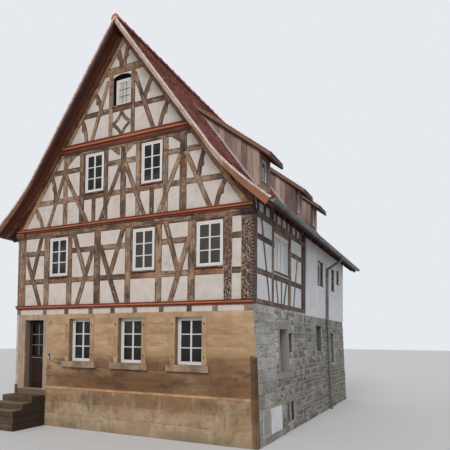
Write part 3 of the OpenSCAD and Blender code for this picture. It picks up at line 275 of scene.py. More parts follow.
# Orange stain, worn grey towards its pale stops
vergeWood = newFinish(
    "vergeBoardWood", [(0.12, "#33241D"), (0.3, "#7A4A2E"), (0.46, "#96603B"), (0.62, "#A2846E"),
                       (0.8, "#B8A08E")],
    (1.4, 38, 1), (0.65, 0.88), 0.002, True, 0.7, (1.5, 0.15))
overlay(vergeWood, "#80543A", noiseMask, (3, 9, 1), 0.48, 0.62, 0.6, True)
# Larch gone pinkish grey, with dark splits
greyBoards = newFinish(
    "weatheredLarchBoards", [(0.24, "#4A3832"), (0.40, "#7A645A"), (0.56, "#9C8376"), (0.74, "#BDA698")],
    (1.5, 50, 1), (0.75, 0.92), 0.003, True, 0.42, (1.4, 0.12))
overlay(greyBoards, "#33261F", noiseMask, (1.5, 30, 1), 0.60, 0.66, 0.6, True)
# Softwood edge boards of the dormers, faded to a dusty pink brown
dormerEdgeWood = newFinish(
    "weatheredEdgeBoards", [(0.24, "#432F26"), (0.42, "#785A4A"), (0.58, "#967360"), (0.76, "#B49480")],
    (1.5, 45, 1), (0.7, 0.9), 0.002, True, 0.5, (1.4, 0.12))
# Lime plaster with a limewash: near white, trowelled
plaster = newFinish(
    "limePlaster", [(0.2, "#AFA193"), (0.45, "#C4B8AD"), (0.7, "#CFC4BB")],
    (3.5, 3.5, 3.5), (0.85, 0.95), 0.003, blotch=(0.9, 0.2), fine=90)
# Newer lime plaster of the sides, trowelled smoother and whiter; its cool neutral grey is partly painted
# skylight shade of the side walls
sidePlasterWithShadeTint = newFinish(
    "smoothLimePlaster", [(0.2, "#C1C1C1"), (0.45, "#D8D8D8"), (0.7, "#E4E4E3")],
    (2.2, 2.2, 2.2), (0.85, 0.95), 0.0025, blotch=(0.7, 0.25), fine=110)
# Split sandstone: sugary grain, bedding lines, rusty stains
sandstone = newFinish(
    "dressedSandstone", [(0.2, "#92734F"), (0.42, "#A58562"), (0.58, "#AF906D"), (0.82, "#BFA280")],
    (3, 3, 8), (0.82, 0.95), 0.0005, tone=0.16, blotch=(0.8, 0.3), fine=160)
dampRight = bandMask(sandstone, 1.15, 2.16, 0.30, 0.84, (0.45, 0.45, 0.9), (0.24, 0.50))
overlay(sandstone, "#6A4729", planeMask, toRight, -2.5, -1.0, 1.0, dampRight)
for code, *band in (("#664629", 1.10, 1.62, 0.16, 0.85, (0.6, 0.6, 1.2), (0.25, 0.50)),
                    ("#3E2B19", 1.25, 2.10, 0.14, 0.75, (1.3, 1.3, 3.4), (0.50, 0.64)),
                    ("#8A5E38", 2.30, 3.25, 0.3, 0.4, (1.1, 1.1, 2.6), (0.53, 0.66)),
                    ("#5E4126", 2.2, 3.3, 0.2, 0.55, (1.0, 1.0, 16), (0.63, 0.70))):
    overlay(sandstone, code, bandMask, *band)
chamfer = (1, 0, lean)  # the flat cut of the corner, seen from below the shoulder
# Painted shade: the chamfered corner face is darkened below the stop
overlay(sandstone, "#4A3423", planeMask, chamfer, 4.045, 4.06, 1.0, bandMask(sandstone, -1, 2.24, 0.05, 0.75))
# The same stone low down: damp, tan patches and darker tide marks
plinthStone = newFinish(
    "stainedPlinthStone", [(0.2, "#806647"), (0.42, "#997F60"), (0.58, "#A68E70"), (0.8, "#B5A184")],
    (2.4, 2.4, 3.6), (0.85, 0.96), 0.002, tone=0.14, blotch=(0.8, 0.3), fine=130)
for code, *band in (("#7A5737", 0.72, 1.25, 0.18, 0.85, (0.7, 0.7, 1.1), (0.30, 0.52)),
                    ("#4E3A28", 0.45, 1.12, 0.2, 0.6, (1.6, 1.6, 1.4), (0.54, 0.66)),
                    ("#6F604A", -0.2, 0.26, 0.2, 0.6, (1.2, 1.2, 2.0), (0.36, 0.56))):
    overlay(plinthStone, code, bandMask, *band)
overlay(plinthStone, "#B7A590", noiseMask, (4, 4, 1.6), 0.48, 0.70, 0.4)
overlay(plinthStone, "#5E4B38", noiseMask, (6, 6, 9), 0.56, 0.66, 0.4)
# Painted shade on the chamfered corner face of the plinth
overlay(plinthStone, "#4A3423", planeMask, chamfer, 4.045, 4.06, 0.6)
# Chamfered plinth course: rubbed orange by rain off the wall
ledgeStone = newFinish(
    "rubbedLedgeStone", [(0.24, "#8A6543"), (0.45, "#A87E5A"), (0.6, "#BE946E")],
    (3, 3, 3), (0.85, 0.95), 0.002, tone=0.1, blotch=(1.4, 0.4), fine=140)
for stoneParts in (plinthStone, ledgeStone):  # the end beside the steps is darker
    overlay(stoneParts, "#544231", planeMask, toLeft, 3.84, 3.9, 0.85)
# Sawn sandstone around openings: smoother, even, softly matt
surroundStone = newFinish(
    "sawnSandstone", [(0.24, "#846849"), (0.42, "#A28260"), (0.55, "#AF906E"), (0.74, "#BFA586")],
    (3, 3, 3), (0.8, 0.92), 0.001, tone=0.12, blotch=(1.1, 0.2), fine=150)
# Sills of the same stone, worn and a little greyer
sillStone = newFinish(
    "wornSillStone", [(0.24, "#6A5646"), (0.42, "#866F5A"), (0.55, "#9A826B"), (0.74, "#B09A84")],
    (3, 3, 3), (0.8, 0.92), 0.002, tone=0.12, blotch=(2.0, 0.3), fine=150)
# The part of the surround within the doorway
doorSide = planeMask(surroundStone, toLeft, 2.66, 2.74, 1.0, planeMask(surroundStone, toFront, 4.5, 4.6, 1.0))
# Painted shade: the reveals of the openings, set back behind the face, are made darker and greyer
shadedReveals = planeMask(surroundStone, toFront, 4.9, 4.95, 1.0)
overlay(surroundStone, "#5C5248", planeMask, toRear, -5.16, -5.12, 0.5, shadedReveals)
overlay(surroundStone, "#9C8878", planeMask, (0, 0, 1), -5, -4, 0.55, doorSide)
for scale, low, strength, shade in (((7, 7, 1.2), 0.50, 0.45, "#C4B09C"), ((9, 9, 1.6), 0.54, 0.5, "#77614F")):
    runs = noiseMask(surroundStone, scale, low, low + 0.14, 1.0)
    overlay(surroundStone, shade, planeMask, toLeft, 2.66, 2.74, strength, runs)
# Painted shade: the reveal within the doorway is laid over with grey lilac
overlay(surroundStone, "#837C79", planeMask, toRear, -5.15, -5.10, 0.75, doorSide)
overlay(surroundStone, "#5E4C3B", planeMask, (0, 0, -1), -1.065, -1.05, 0.9, doorSide)  # trodden sill
for stoneParts in (surroundStone, sillStone):  # the windows of the side walls are set in grey limestone
    overlay(stoneParts, "#8E8A83", planeMask, toRight, 3.5, 3.6, 0.9)
    behind = planeMask(stoneParts, toRear, -4.4, -4.3, 1.0)
    overlay(stoneParts, "#8E8A83", planeMask, toLeft, 3.5, 3.6, 0.9, behind)
# Field limestone: grey, rough, earthy low down
rubble = newFinish(
    "rubbleLimestone", [(0.12, "#4E4A45"), (0.34, "#837F79"), (0.54, "#A3A09A"), (0.78, "#C6C3BC")],
    (8, 8, 14), (0.85, 0.96), 0.006, tone=0.46, blotch=(0.9, 0.25), fine=110)
overlay(rubble, "#665744", bandMask, -0.3, 1.75, 0.5, 0.6, (0.9, 0.9, 0.9), (0.34, 0.60))
overlay(rubble, "#3B3834", noiseMask, (3.4, 3.4, 7), 0.60, 0.68, 0.65)
# Painted shade: the far part of the right wall is darkened
overlay(rubble, "#4A453E", planeMask, toRear, -2.9, -1.2, 0.42, planeMask(rubble, toRight, 3.93, 4.0, 1.0))
# Lime mortar between the field stones: pale, sandy, quite matt
mortar = newFinish(
    "limeMortar", [(0.2, "#8A857D"), (0.45, "#A8A39A"), (0.7, "#C0BBB2")],
    (9, 9, 9), (0.9, 0.97), 0.008, blotch=(1.0, 0.3), fine=120)
rightWallForRecessShade = planeMask(mortar, toRight, 3.3, 3.4, 1.0)  # its recesses are painted dark as shade
overlay(mortar, "#3A3733", planeMask, (-1, 0, -lean), -4.165, -4.13, 0.75, rightWallForRecessShade)
# Steps of dark sandstone, polished a little by feet
stepStone = newFinish(
    "wornStepStone", [(0.24, "#382919"), (0.42, "#4E3B27"), (0.58, "#5C4731"), (0.78, "#6F5941")],
    (3, 3, 4), (0.75, 0.92), 0.002, tone=0.25, blotch=(1.4, 0.35), fine=120)
for tread in (0.570, 0.740):  # arrises and treads are painted paler: a painted highlight, and rubbed pale by feet
    overlay(stepStone, "#8C7664", bandMask, tread - 0.012, tread + 0.02, 0.006, 0.5)
# Painted shade: the right-hand faces of the steps are made near black
overlay(stepStone, "#251A12", planeMask, toRight, -2.748, -2.73, 0.75)
# Fired clay plain tiles, dark and blotched with age
roofClay = newFinish(
    "agedRoofClay", [(0.2, "#472520"), (0.40, "#783D34"), (0.56, "#935144"), (0.76, "#B47864")],
    (7, 7, 7), (0.72, 0.9), 0.002, tone=0.55, blotch=(0.8, 0.22), fine=90)
overlay(roofClay, "#5C4A42", noiseMask, (0.5, 0.5, 0.9), 0.50, 0.66, 0.35)
# Newer clay: brighter orange, even
ridgeClay = newFinish(
    "ridgeClay", [(0.24, "#7C3A26"), (0.44, "#B0593B"), (0.56, "#C4704F"), (0.76, "#D69377")],
    (7, 7, 7), (0.7, 0.88), 0.002, tone=0.35, blotch=(1.2, 0.1), fine=90)
# Mortar strip under the verge tiles: pale pink, lumpy
vergeMortar = newFinish(
    "vergeMortar", [(0.24, "#94796C"), (0.44, "#C3ABA0"), (0.6, "#DCCDC5")],
    (14, 14, 14), (0.88, 0.96), 0.006, blotch=(2.0, 0.3), fine=80)
# Weathered zinc: dull blue grey patina with a soft shine
zinc = newFinish(
    "weatheredZinc", [(0.24, "#4C4D4F"), (0.44, "#616365"), (0.6, "#7C7E80")],
    (4, 4, 4), (0.38, 0.55), 0.0006, blotch=(1.2, 0.3), metallic=0.6)
# Sheet lead: pale grey, soft, with little shine
lead = newFinish(
    "flashingLead", [(0.24, "#7C7A79"), (0.5, "#9A9795"), (0.7, "#B4B1AE")],
    (5, 5, 5), (0.5, 0.7), 0.001, blotch=(1.2, 0.2), metallic=0.2)
# Forged iron: nearly black, scaly, faint shine
forgedIron = newFinish(
    "forgedIron", [(0.3, "#1D1917"), (0.5, "#2E2722"), (0.7, "#4A372A")],
    (30, 30, 30), (0.55, 0.8), 0.001, metallic=0.6)
# The same iron where its paint has gone: dry brown rust
rustyIron = newFinish(
    "rustyIron", [(0.3, "#3E271B"), (0.5, "#5E3B28"), (0.7, "#7A5238")],
    (30, 30, 30), (0.7, 0.9), 0.001, metallic=0.2)
# Brushed stainless steel: fine level lines, clear shine
steel = newFinish(
    "brushedSteel", [(0.3, "#86878A"), (0.5, "#A3A4A6"), (0.7, "#BEBFC0")],
    (4, 4, 160), (0.28, 0.42), 0.0003, metallic=1.0)
# Brushed linseed paint on window frames: off-white, a little sheen
whitePaint = newFinish(
    "whiteLinseedPaint", [(0.24, "#C2BCB7"), (0.45, "#D6D0CB"), (0.7, "#E0DBD7")],
    (2, 26, 1), (0.35, 0.5), 0.0006, True, blotch=(2.0, 0.2))
# Varnished oak of the door: nearly black brown, low sheen
doorWood = newFinish(
    "varnishedDoorOak", [(0.24, "#120B07"), (0.44, "#22160F"), (0.56, "#311F16"), (0.74, "#453024")],
    (2.2, 60, 1), (0.5, 0.7), 0.001, True, 0.25)
doorWood["shader"].inputs["Specular IOR Level"].default_value = 0.15
# Limed oak bars before the door's glass: grey brown, satin
doorBars = newFinish(
    "limedDoorBars", [(0.3, "#54443C"), (0.5, "#75645A"), (0.7, "#92827A")],
    (2, 60, 1), (0.5, 0.7), 0.001, True)
# Scrubbed pine boards: honey brown, long grain
floorboards = newFinish(
    "scrubbedFloorboards", [(0.26, "#6E563E"), (0.45, "#8E7355"), (0.6, "#A58A69"), (0.76, "#BCA383")],
    (0.8, 30, 30), (0.6, 0.8), 0.002, blotch=(0.9, 0.2))
# Worn sandstone flags: warm grey, blotchy, matt
floorStone = newFinish(
    "floorFlags", [(0.26, "#6E6356"), (0.45, "#8A7A68"), (0.6, "#9E8F7C")],
    (3, 3, 3), (0.7, 0.88), 0.003, blotch=(1.0, 0.3), fine=90)
# Whitewash on the rooms' plaster: bright and flat
innerPlaster = newFinish(
    "whiteInnerPlaster", [(0.2, "#D8D2C8"), (0.5, "#E8E2D8"), (0.7, "#F0ECE5")],
    (2, 2, 2), (0.85, 0.95), 0.002, fine=100)
# Slatted blinds behind the glass: brown, level lines
brownBlind = newFinish(
    "brownBlindSlats", [(0.3, "#5A4B42"), (0.5, "#6F6056"), (0.7, "#85766A")],
    (1, 1, 28), (0.6, 0.75), 0.003)


# Float glass before dark rooms: the pane mirrors the sky a little and lets little back
def newGlass(name, dark, light, mirror=0.2):
    glass = newFinish(name, [(0.3, dark), (0.7, light)], (0.9, 0.9, 0.6), (0.03, 0.06), 0.0004,
                      blotch=(1.3, 0.3))
    glass["shader"].inputs["IOR"].default_value = 1.5
    glass["shader"].inputs["Specular IOR Level"].default_value = mirror
    return glass


windowGlass = newGlass("windowGlass", "#0C0C0C", "#2C2A28")
overlay(windowGlass, "#5A5A52", noiseMask, (1.1, 1.1, 2.3), 0.55, 0.68, 0.4)  # what stands in the rooms
warmRooms = bandMask(windowGlass, 4.3, 6.5, 0.1, 1.0)
overlay(windowGlass, "#5C554C", planeMask, toRight, -1.6, -0.6, 0.45, warmRooms)
# Glass tinted pale and dusky blue grey: a painted reflection of the sky in the side and dormer windows
paleSkyReflectionGlass = newGlass("paleWindowGlass", "#9CA5AD", "#D3D9DE", 0.4)
duskySkyReflectionGlass = newGlass("duskyWindowGlass", "#4E545A", "#7F878C", 0.4)
curtainGlass = newGlass("curtainWindowGlass", "#A8A297", "#CFC8BB")
doorGlass = newGlass("doorGlass", "#0C0907", "#1A1411", 0.15)

print("mesh helpers")


def newStore():
    return {"verts": [], "faces": [], "uv": [], "tone": [], "finish": []}


def addSolid(store, verts, faces, uv=None, tone=0.5, finish=0):
    first = len(store["verts"])
    store["verts"] += [tuple(v) for v in verts]
    store["faces"] += [[first + i for i in f] for f in faces]
    store["uv"] += uv or [(0.0, 0.0)] * len(verts)
    store["tone"] += tone if isinstance(tone, list) else [tone] * len(verts)
    store["finish"] += [finish] * len(faces)


# Normals outwards, smooth shading up to the given angle, then a linked object
def finishMesh(name, mesh, smooth):
    work = bmesh.new()
    work.from_mesh(mesh)
    bmesh.ops.recalc_face_normals(work, faces=work.faces)
    work.to_mesh(mesh)
    work.free()
    if smooth:
        mesh.shade_smooth()
        mesh.set_sharp_from_angle(angle=math.radians(smooth))
    return addObject(name, mesh)


def settle(piece, nodes=(), body="house"):
    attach(piece, body)
    if nodes:
        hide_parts(*nodes)


def makePiece(name, store, finishes, nodes=(), body="house", smooth=35):
    mesh = bpy.data.meshes.new(name)
    mesh.from_pydata([Vector(v) + origin for v in store["verts"]], [], store["faces"])
    layer = mesh.uv_layers.new(name="grain")
    corner = [0] * len(mesh.loops)
    mesh.loops.foreach_get("vertex_index", corner)
    layer.data.foreach_set("uv", [c for v in corner for c in store["uv"][v]])
    mesh.attributes.new("tone", "FLOAT", "POINT").data.foreach_set("value", store["tone"])
    for f in finishes:
        mesh.materials.append(f["material"])
    mesh.polygons.foreach_set("material_index", store["finish"])
    settle(finishMesh(name, mesh, smooth), nodes, body)


# u runs along a wall, d goes into it and z goes up
def onWall(wall, u, d, z):
    return {"front": (u, d, z), "rear": (-u, depth - d, z),
            "right": (halfWidth - d, u, z), "left": (d - halfWidth, u, z)}[wall]


# Quads between rings of n points, a plate's two outlines with its rim, and a box whose front arrises are cut
def bandFaces(n, rings):
    return [[i + k, i + (k + 1) % n, i + n + (k + 1) % n, i + n + k]
            for i in range(0, n * (rings - 1), n) for k in range(n)]


def plateFaces(n):
    rim = [[k, n + k, n + (k + 1) % n, (k + 1) % n] for k in range(n)]
    return [list(range(n)), list(range(n, 2 * n))[::-1]] + rim


cutBoxFaces = [[0, 1, 2, 3], [8, 11, 10, 9]] + bandFaces(4, 3)


# A closed loft: rings of points, each with its own place along the grain
def loft(store, rings, across, along, tone=0.5, finish=0):
    n, count = len(rings[0]), len(rings)
    shift = random.uniform(0, 40)
    uv = [(along[i] + shift, across[k] + shift) for i in range(count) for k in range(n)]
    faces = bandFaces(n, count) + [list(range(n))[::-1], [(count - 1) * n + k for k in range(n)]]
    addSolid(store, [p for ring in rings for p in ring], faces, uv, tone, finish)


def stepped(path, pitch):
    points = []
    for a, b in zip(path, path[1:]):
        parts = max(1, round((b - a).length / pitch))
        points += [a.lerp(b, i / parts) for i in range(parts)]
    return points + [path[-1]]


# A hewn timber along a path of (u, z) points: bevelled arrises, darker than the faces, that wander a little
def timber(store, wall, path, width, front=0.0, back=0.1, tone=None, bevel=0.009, wander=0.006, finish=0):
    path = stepped([Vector(p) for p in path], 0.24)
    seed, run, rings, along = random.uniform(0, 90), 0.0, [], []
    wide, e = width / 2, min(0.022, width / 4)
    for i, p in enumerate(path):
        heading = (path[min(i + 1, len(path) - 1)] - path[max(i - 1, 0)]).normalized()
        side = Vector((heading.y, -heading.x))
        run += (p - path[i - 1]).length if i else 0
        l = -wide + wander * noise.noise((seed, run * 1.7, 0))
        r = wide + wander * noise.noise((seed, run * 1.7, 7))
        f = front + 0.0012 * noise.noise((seed, run * 2.5, 14))
        ring = [(l, back), (l, f + bevel), (l + bevel, f), (l + bevel + e, f),
                (r - bevel - e, f), (r - bevel, f), (r, f + bevel), (r, back)]
        rings.append([onWall(wall, p.x + side.x * s, d, p.y + side.y * s) for s, d in ring])
        along.append(run)
    across = [-wide - back, -wide, bevel - wide, bevel + e - wide,
              wide - bevel - e, wide - bevel, wide, wide + back]
    base = random.uniform(0, 1) if tone is None else tone
    drift = [base + 0.9 * noise.noise((seed, a * 2.2, 21)) for a in along]
    tones = [t - k for t in drift for k in (0.9, 0.9, 0.7, 0, 0, 0.7, 0.9, 0.9)]
    loft(store, rings, across, along, tones, finish)


# A box on a wall with its outer arrises chamfered, its grain along the longer side
def block(store, wall, u0, u1, d0, d1, z0, z1, bevel=0.004, tone=None, finish=0):
    b = min(bevel, (u1 - u0) / 3, (z1 - z0) / 3)
    corners = [(u0, z0), (u1, z0), (u1, z1), (u0, z1)]
    inset = [(u0 + b, z0 + b), (u1 - b, z0 + b), (u1 - b, z1 - b), (u0 + b, z1 - b)]
    rings = ((d0, inset), (d0 + b, corners), (d1, corners))
    verts = [onWall(wall, u, d, z) for d, ring in rings for u, z in ring]
    shift = random.uniform(0, 40)
    flat = inset + corners
    flat += [(u + (u - (u0 + u1) / 2) * 0.2, z + (z - (z0 + z1) / 2) * 0.2) for u, z in corners]
    uv = [(u + shift, z + shift) if u1 - u0 > z1 - z0 else (z + shift, u + shift) for u, z in flat]
    addSolid(store, verts, cutBoxFaces, uv, random.uniform(0, 1) if tone is None else tone, finish)


# A flat shape of (u, z) points with a thickness into the wall
def plate(store, wall, outline, d0, d1, tone=None, finish=0):
    shift = random.uniform(0, 40)
    verts = [onWall(wall, u, d, z) for d in (d0, d1) for u, z in outline]
    uv = [(z + shift, u + shift) for u, z in outline] * 2
    tone = random.uniform(0, 1) if tone is None else tone
    addSolid(store, verts, plateFaces(len(outline)), uv, tone, finish)


# A profile of (out, up) points drawn along a wall from a to b at the height z, its ends cut at a slant
def moulded(store, wall, a, b, z, outline, tone, wander=0.0, slant=0.0):
    path = stepped([Vector(onWall(wall, a, 0, z)), Vector(onWall(wall, b, 0, z))], 0.4)
    rings, along, run, seed = [], [], 0.0, random.uniform(0, 90)
    ahead, out = (path[-1] - path[0]).normalized(), Vector((0, -1 if wall == "front" else 1, 0))
    across = [0.0]
    for p, q in zip(outline, outline[1:]):
        across.append(across[-1] + (Vector(q) - Vector(p)).length)
    for i, p in enumerate(path):
        run += (p - path[i - 1]).length if i else 0
        w = wander * noise.noise((seed, run * 1.5, 3))
        cut = ahead * slant * (-1 if i == len(path) - 1 else 1 if i == 0 else 0)
        rings.append([tuple(p + out * (o + w) + (Vector((0, 0, 1)) + cut) * u) for o, u in outline])
        along.append(run)
    if isinstance(tone, list):
        tone = [t + 0.12 * noise.noise((seed, a * 0.8, 9)) for a in along for t in tone]
    loft(store, rings, across, along, tone)


print("geometry node tree for copies")


def copiesTree():
    tree = bpy.data.node_groups.new("placedCopies", "GeometryNodeTree")
    tree.is_modifier = True
    for name, kind in (("Geometry", "Geometry"), ("Copy", "Object"), ("Finish", "Material"), ("Tilt", "Float"),
                       ("Size spread", "Float"), ("Wander", "Float"), ("Wander scale", "Float"),
                       ("Seed", "Int")):
        tree.interface.new_socket(name, in_out="INPUT", socket_type="NodeSocket" + kind)
    tree.interface.new_socket("Geometry", in_out="OUTPUT", socket_type="NodeSocketGeometry")
    given = addNode(tree, "NodeGroupInput").outputs
    shape = addNode(tree, "GeometryNodeObjectInfo", {"Object": given["Copy"]})
    turn, size = (addNode(tree, "GeometryNodeInputNamedAttribute", {"data_type": "FLOAT_VECTOR", "Name": label})
                  for label in ("turn", "size"))
    shake = addNode(tree, "FunctionNodeRandomValue",
                    {"data_type": "FLOAT_VECTOR", 0: (-1, -1, -1), 1: (1, 1, 1), "Seed": given["Seed"]})
    shaken = addNode(tree, "ShaderNodeVectorMath", {"operation": "SCALE", 0: shake, "Scale": given["Tilt"]})
    turned = addNode(tree, "ShaderNodeVectorMath", {"operation": "ADD", 0: turn, 1: shaken})
    grow = addNode(tree, "FunctionNodeRandomValue",
                   {"data_type": "FLOAT", 2: -1.0, 3: 1.0, "Seed": given["Seed"]})
    scaled = calculate(tree, "MULTIPLY_ADD", grow.outputs[1], given["Size spread"], 1.0)
    sized = addNode(tree, "ShaderNodeVectorMath", {"operation": "SCALE", 0: size, "Scale": scaled})
    spread = addNode(tree, "GeometryNodeInstanceOnPoints", {
        "Points": given["Geometry"], "Instance": shape.outputs["Geometry"],
        "Rotation": addNode(tree, "FunctionNodeEulerToRotation", {0: turned}), "Scale": sized})
    real = addNode(tree, "GeometryNodeRealizeInstances", {"Geometry": spread})
    ripple = addNode(tree, "ShaderNodeTexNoise", {"Detail": 2.0, "Scale": given["Wander scale"],
                                                  "Vector": addNode(tree, "GeometryNodeInputPosition")})
    middle = addNode(tree, "ShaderNodeVectorMath",
                     {"operation": "SUBTRACT", 0: ripple.outputs[1], 1: (0.5, 0.5, 0.5)})
    moved = addNode(tree, "ShaderNodeVectorMath", {"operation": "SCALE", 0: middle, "Scale": given["Wander"]})
    worn = addNode(tree, "GeometryNodeSetPosition", {"Geometry": real, "Offset": moved})
    dressed = addNode(tree, "GeometryNodeSetMaterial", {"Geometry": worn, "Material": given["Finish"]})
    addNode(tree, "NodeGroupOutput", {0: dressed})
    return tree


copies = copiesTree()


# spots: (place, turn, size, tone); copy: verts and faces of one piece
def placeCopies(name, spots, copy, finish, slot, nodes=(), smooth=30, **inputs):
    shapeMesh = bpy.data.meshes.new(name + "Shape")
    shapeMesh.from_pydata(copy[0], [], copy[1])
    shape = finishMesh(name + "Shape", shapeMesh, smooth)
    points = bpy.data.meshes.new(name + "Points")
    points.from_pydata([Vector(s[0]) + origin for s in spots], [], [])
    for label, column in (("turn", 1), ("size", 2)):
        values = [c for s in spots for c in s[column]]
        points.attributes.new(label, "FLOAT_VECTOR", "POINT").data.foreach_set("vector", values)
    points.attributes.new("tone", "FLOAT", "POINT").data.foreach_set("value", [s[3] for s in spots])
    holder = addObject(name + "Points", points)
    modifier = holder.modifiers.new("copies", "NODES")
    modifier.node_group = copies
    values = {"Copy": shape, "Finish": finish["material"], "Tilt": 0.0, "Size spread": 0.0, "Wander": 0.0,
              "Wander scale": 8.0, "Seed": 3, **{key.replace("_", " "): value for key, value in inputs.items()}}
    for socket in copies.interface.items_tree:
        if socket.in_out == "INPUT" and socket.name in values:
            modifier[socket.identifier] = values[socket.name]
    ready = holder.evaluated_get(bpy.context.evaluated_depsgraph_get())
    mesh = bpy.data.meshes.new_from_object(ready)
    bpy.data.objects.remove(holder)
    bpy.data.objects.remove(shape)
    mesh.name = name
    settle(addObject(name, mesh), nodes)


def turnTo(x, y, z):
    return tuple(Matrix((Vector(x), Vector(y), Vector(z))).transposed().to_euler())


print("timber frame")
frameSizes = {
    "post": 0.2, "brace": 0.16, "rail": 0.16, "sillRail": 3.2, "upperRail": 4.08, "windowTop": 4.52,
    "windowFoot": 3.34, "jamb": 0.07, "rafter": 0.15, "gableBrace": 0.138, "bow": 0.05, "nose": 0.055,
    "gableSill": 5.635, "gableUpper": 6.51, "gableFoot": 5.76, "topRail": 8.07, "collar": 9.215,
    "diamond": 0.105, "ridge": 10.4398, "topTall": 1.945, "topFoot": 8.18, "topWide": 0.66,
    "topPost": 0.14, "gableJamb": 0.036, "notch": 0.034, "collarHeight": 0.23,
}
# Posts (place, share of the post width) and braces (place, share of the height) in bays from the middle
posts = [(-2.8, 1.1), (-1.886, 1.05), (-0.839, 1.2), (0.243, 1), (1.256, 1.05), (2.268, 1.1), (3.31, 1.15)]
upperWindows = [(-2.328 * bay, 0.73), (0.754 * bay, 0.73), (2.784 * bay, 0.7665)]
braces = [((-3.027, 1), (-3.404, 0.36)), ((-3.672, 0.771), (-3.057, 0)), ((-1.717, 1), (-1.241, 0.36)),
          ((-0.993, 0.771), (-1.568, 0)), ((0.069, 1), (-0.397, 0.36)), ((-0.705, 0.771), (-0.099, 0)),
          ((1.479, 1), (1.876, 0.36)), ((2.174, 0.771), (1.638, 0))]
gablePosts = [(-2.099, 0.9), (-1.464, 0.95), (-0.576, 0.8), (0.04, 1), (0.541, 0.75),
              (1.444, 0.85), (1.99, 1.1)]
gableWindows = [(-1.012 * bay, 0.69), (0.985 * bay, 0.69)]
gableBraces = [((-2.184, 0.684), (-2.759, 0)), ((-2.025, 0.647), (-1.241, 0)), ((-0.089, 0.679), (-0.774, 0)),
               ((0.139, 0.698), (0.764, 0)), ((1.876, 0.679), (1.231, 0)), ((2.094, 0.712), (2.799, 0))]
gableCurved = [((-2.65, 0.72), (-2.5, 0.356)), ((2.63, 0.726), (2.471, 0.356)), ((-3.375, 0.33), (-3.007, 0)),
               ((3.265, 0.33), (2.978, 0))]
topBraces = [((-0.556, 0.838), (-1.131, 0)), ((0.397, 0.864), (1.032, 0))]
topCurved = [((-1.042, 0.74), (-0.784, 0.411)), ((-1.558, 0.411), (-1.32, 0)), ((0.963, 0.751), (0.715, 0.411)),
             ((1.568, 0.411), (1.241, 0)), ((-0.278, 1.378), (-0.089, 1)), ((0.189, 1.378), (0.02, 1))]
topPosts, topMiddle = [-0.442 * bay, 0.332 * bay], -0.055 * bay
pegSpots = []


def inward(d):
    return Vector((d.y, -d.x)).normalized()


def upright(store, wall, u, low, top, width, front=0.0, **more):
    timber(store, wall, [(u, low), (u, top)], width, front, **more)


def level(store, wall, z, a, b, width=frameSizes["rail"], front=0.0025, **more):
    timber(store, wall, [(a, z), (b, z)], width, front, **more)


# A post from low to top that is cut back where a window stands beside it
def postBeside(store, wall, u, w, low, sill, top, windows):
    a, b = u - w / 2, u + w / 2
    c, e = a, b
    for mid, wide in windows:
        if a < mid - wide / 2 < b:
            e = mid - wide / 2 - 0.004
        if a < mid + wide / 2 < b:
            c = mid + wide / 2 + 0.004
    if (c, e) == (a, b):
        upright(store, wall, u, low, top, w)
        return
    upright(store, wall, u, low, sill, w)
    upright(store, wall, (c + e) / 2, sill - 0.02, top, e - c, -0.0005, wander=0.003)


def bowed(a, b, bow, s):
    return a + (b - a) * s + inward(b - a) * 4 * s * (1 - s) * bow


def peg(wall, u, z, d=0.0):
    pegSpots.append((wall, u, z, d))


def straightBrace(store, wall, ends, width=frameSizes["gableBrace"], run=0.07, front=-0.0045):
    step = (ends[1] - ends[0]).normalized() * run
    timber(store, wall, [ends[0] - step, ends[1] + step], width, front)


# A thin board under a window whose foot is at z
def sillBoard(store, wall, u, w, z, beyond=0.03, out=0.035, back=0.05, high=0.045):
    block(store, wall, u - w / 2 - beyond, u + w / 2 + beyond, -out, back, z - high, z - 0.004, 0.006, 0.1)


# A curved brace with a nose on its hollow side
def nosedBrace(store, wall, a, b):
    width, nose, front = frameSizes["gableBrace"], frameSizes["nose"], -0.003
    near = width / 2
    bow, k = math.copysign(frameSizes["bow"], a.x), -math.copysign(1, a.x)
    timber(store, wall, [bowed(a, b, bow, i / 8) for i in range(-1, 10)], width, front)
    outline = []
    for s, w in ((0.30, width * 0.42), (0.34, near + 0.004), (0.44, near + nose * 0.8), (0.50, near + nose),
                 (0.545, near + nose * 0.55), (0.6, near + 0.002), (0.6, width * 0.42)):
        across = inward(b - a + inward(b - a) * 4 * (1 - 2 * s) * bow)
        outline.append(tuple(bowed(a, b, bow, s) + across * k * w))
    plate(store, wall, outline, front + 0.004, 0.1)


def braceEnds(pair, foot, tall):
    return [Vector((b * bay, foot + share * tall)) for b, share in pair]


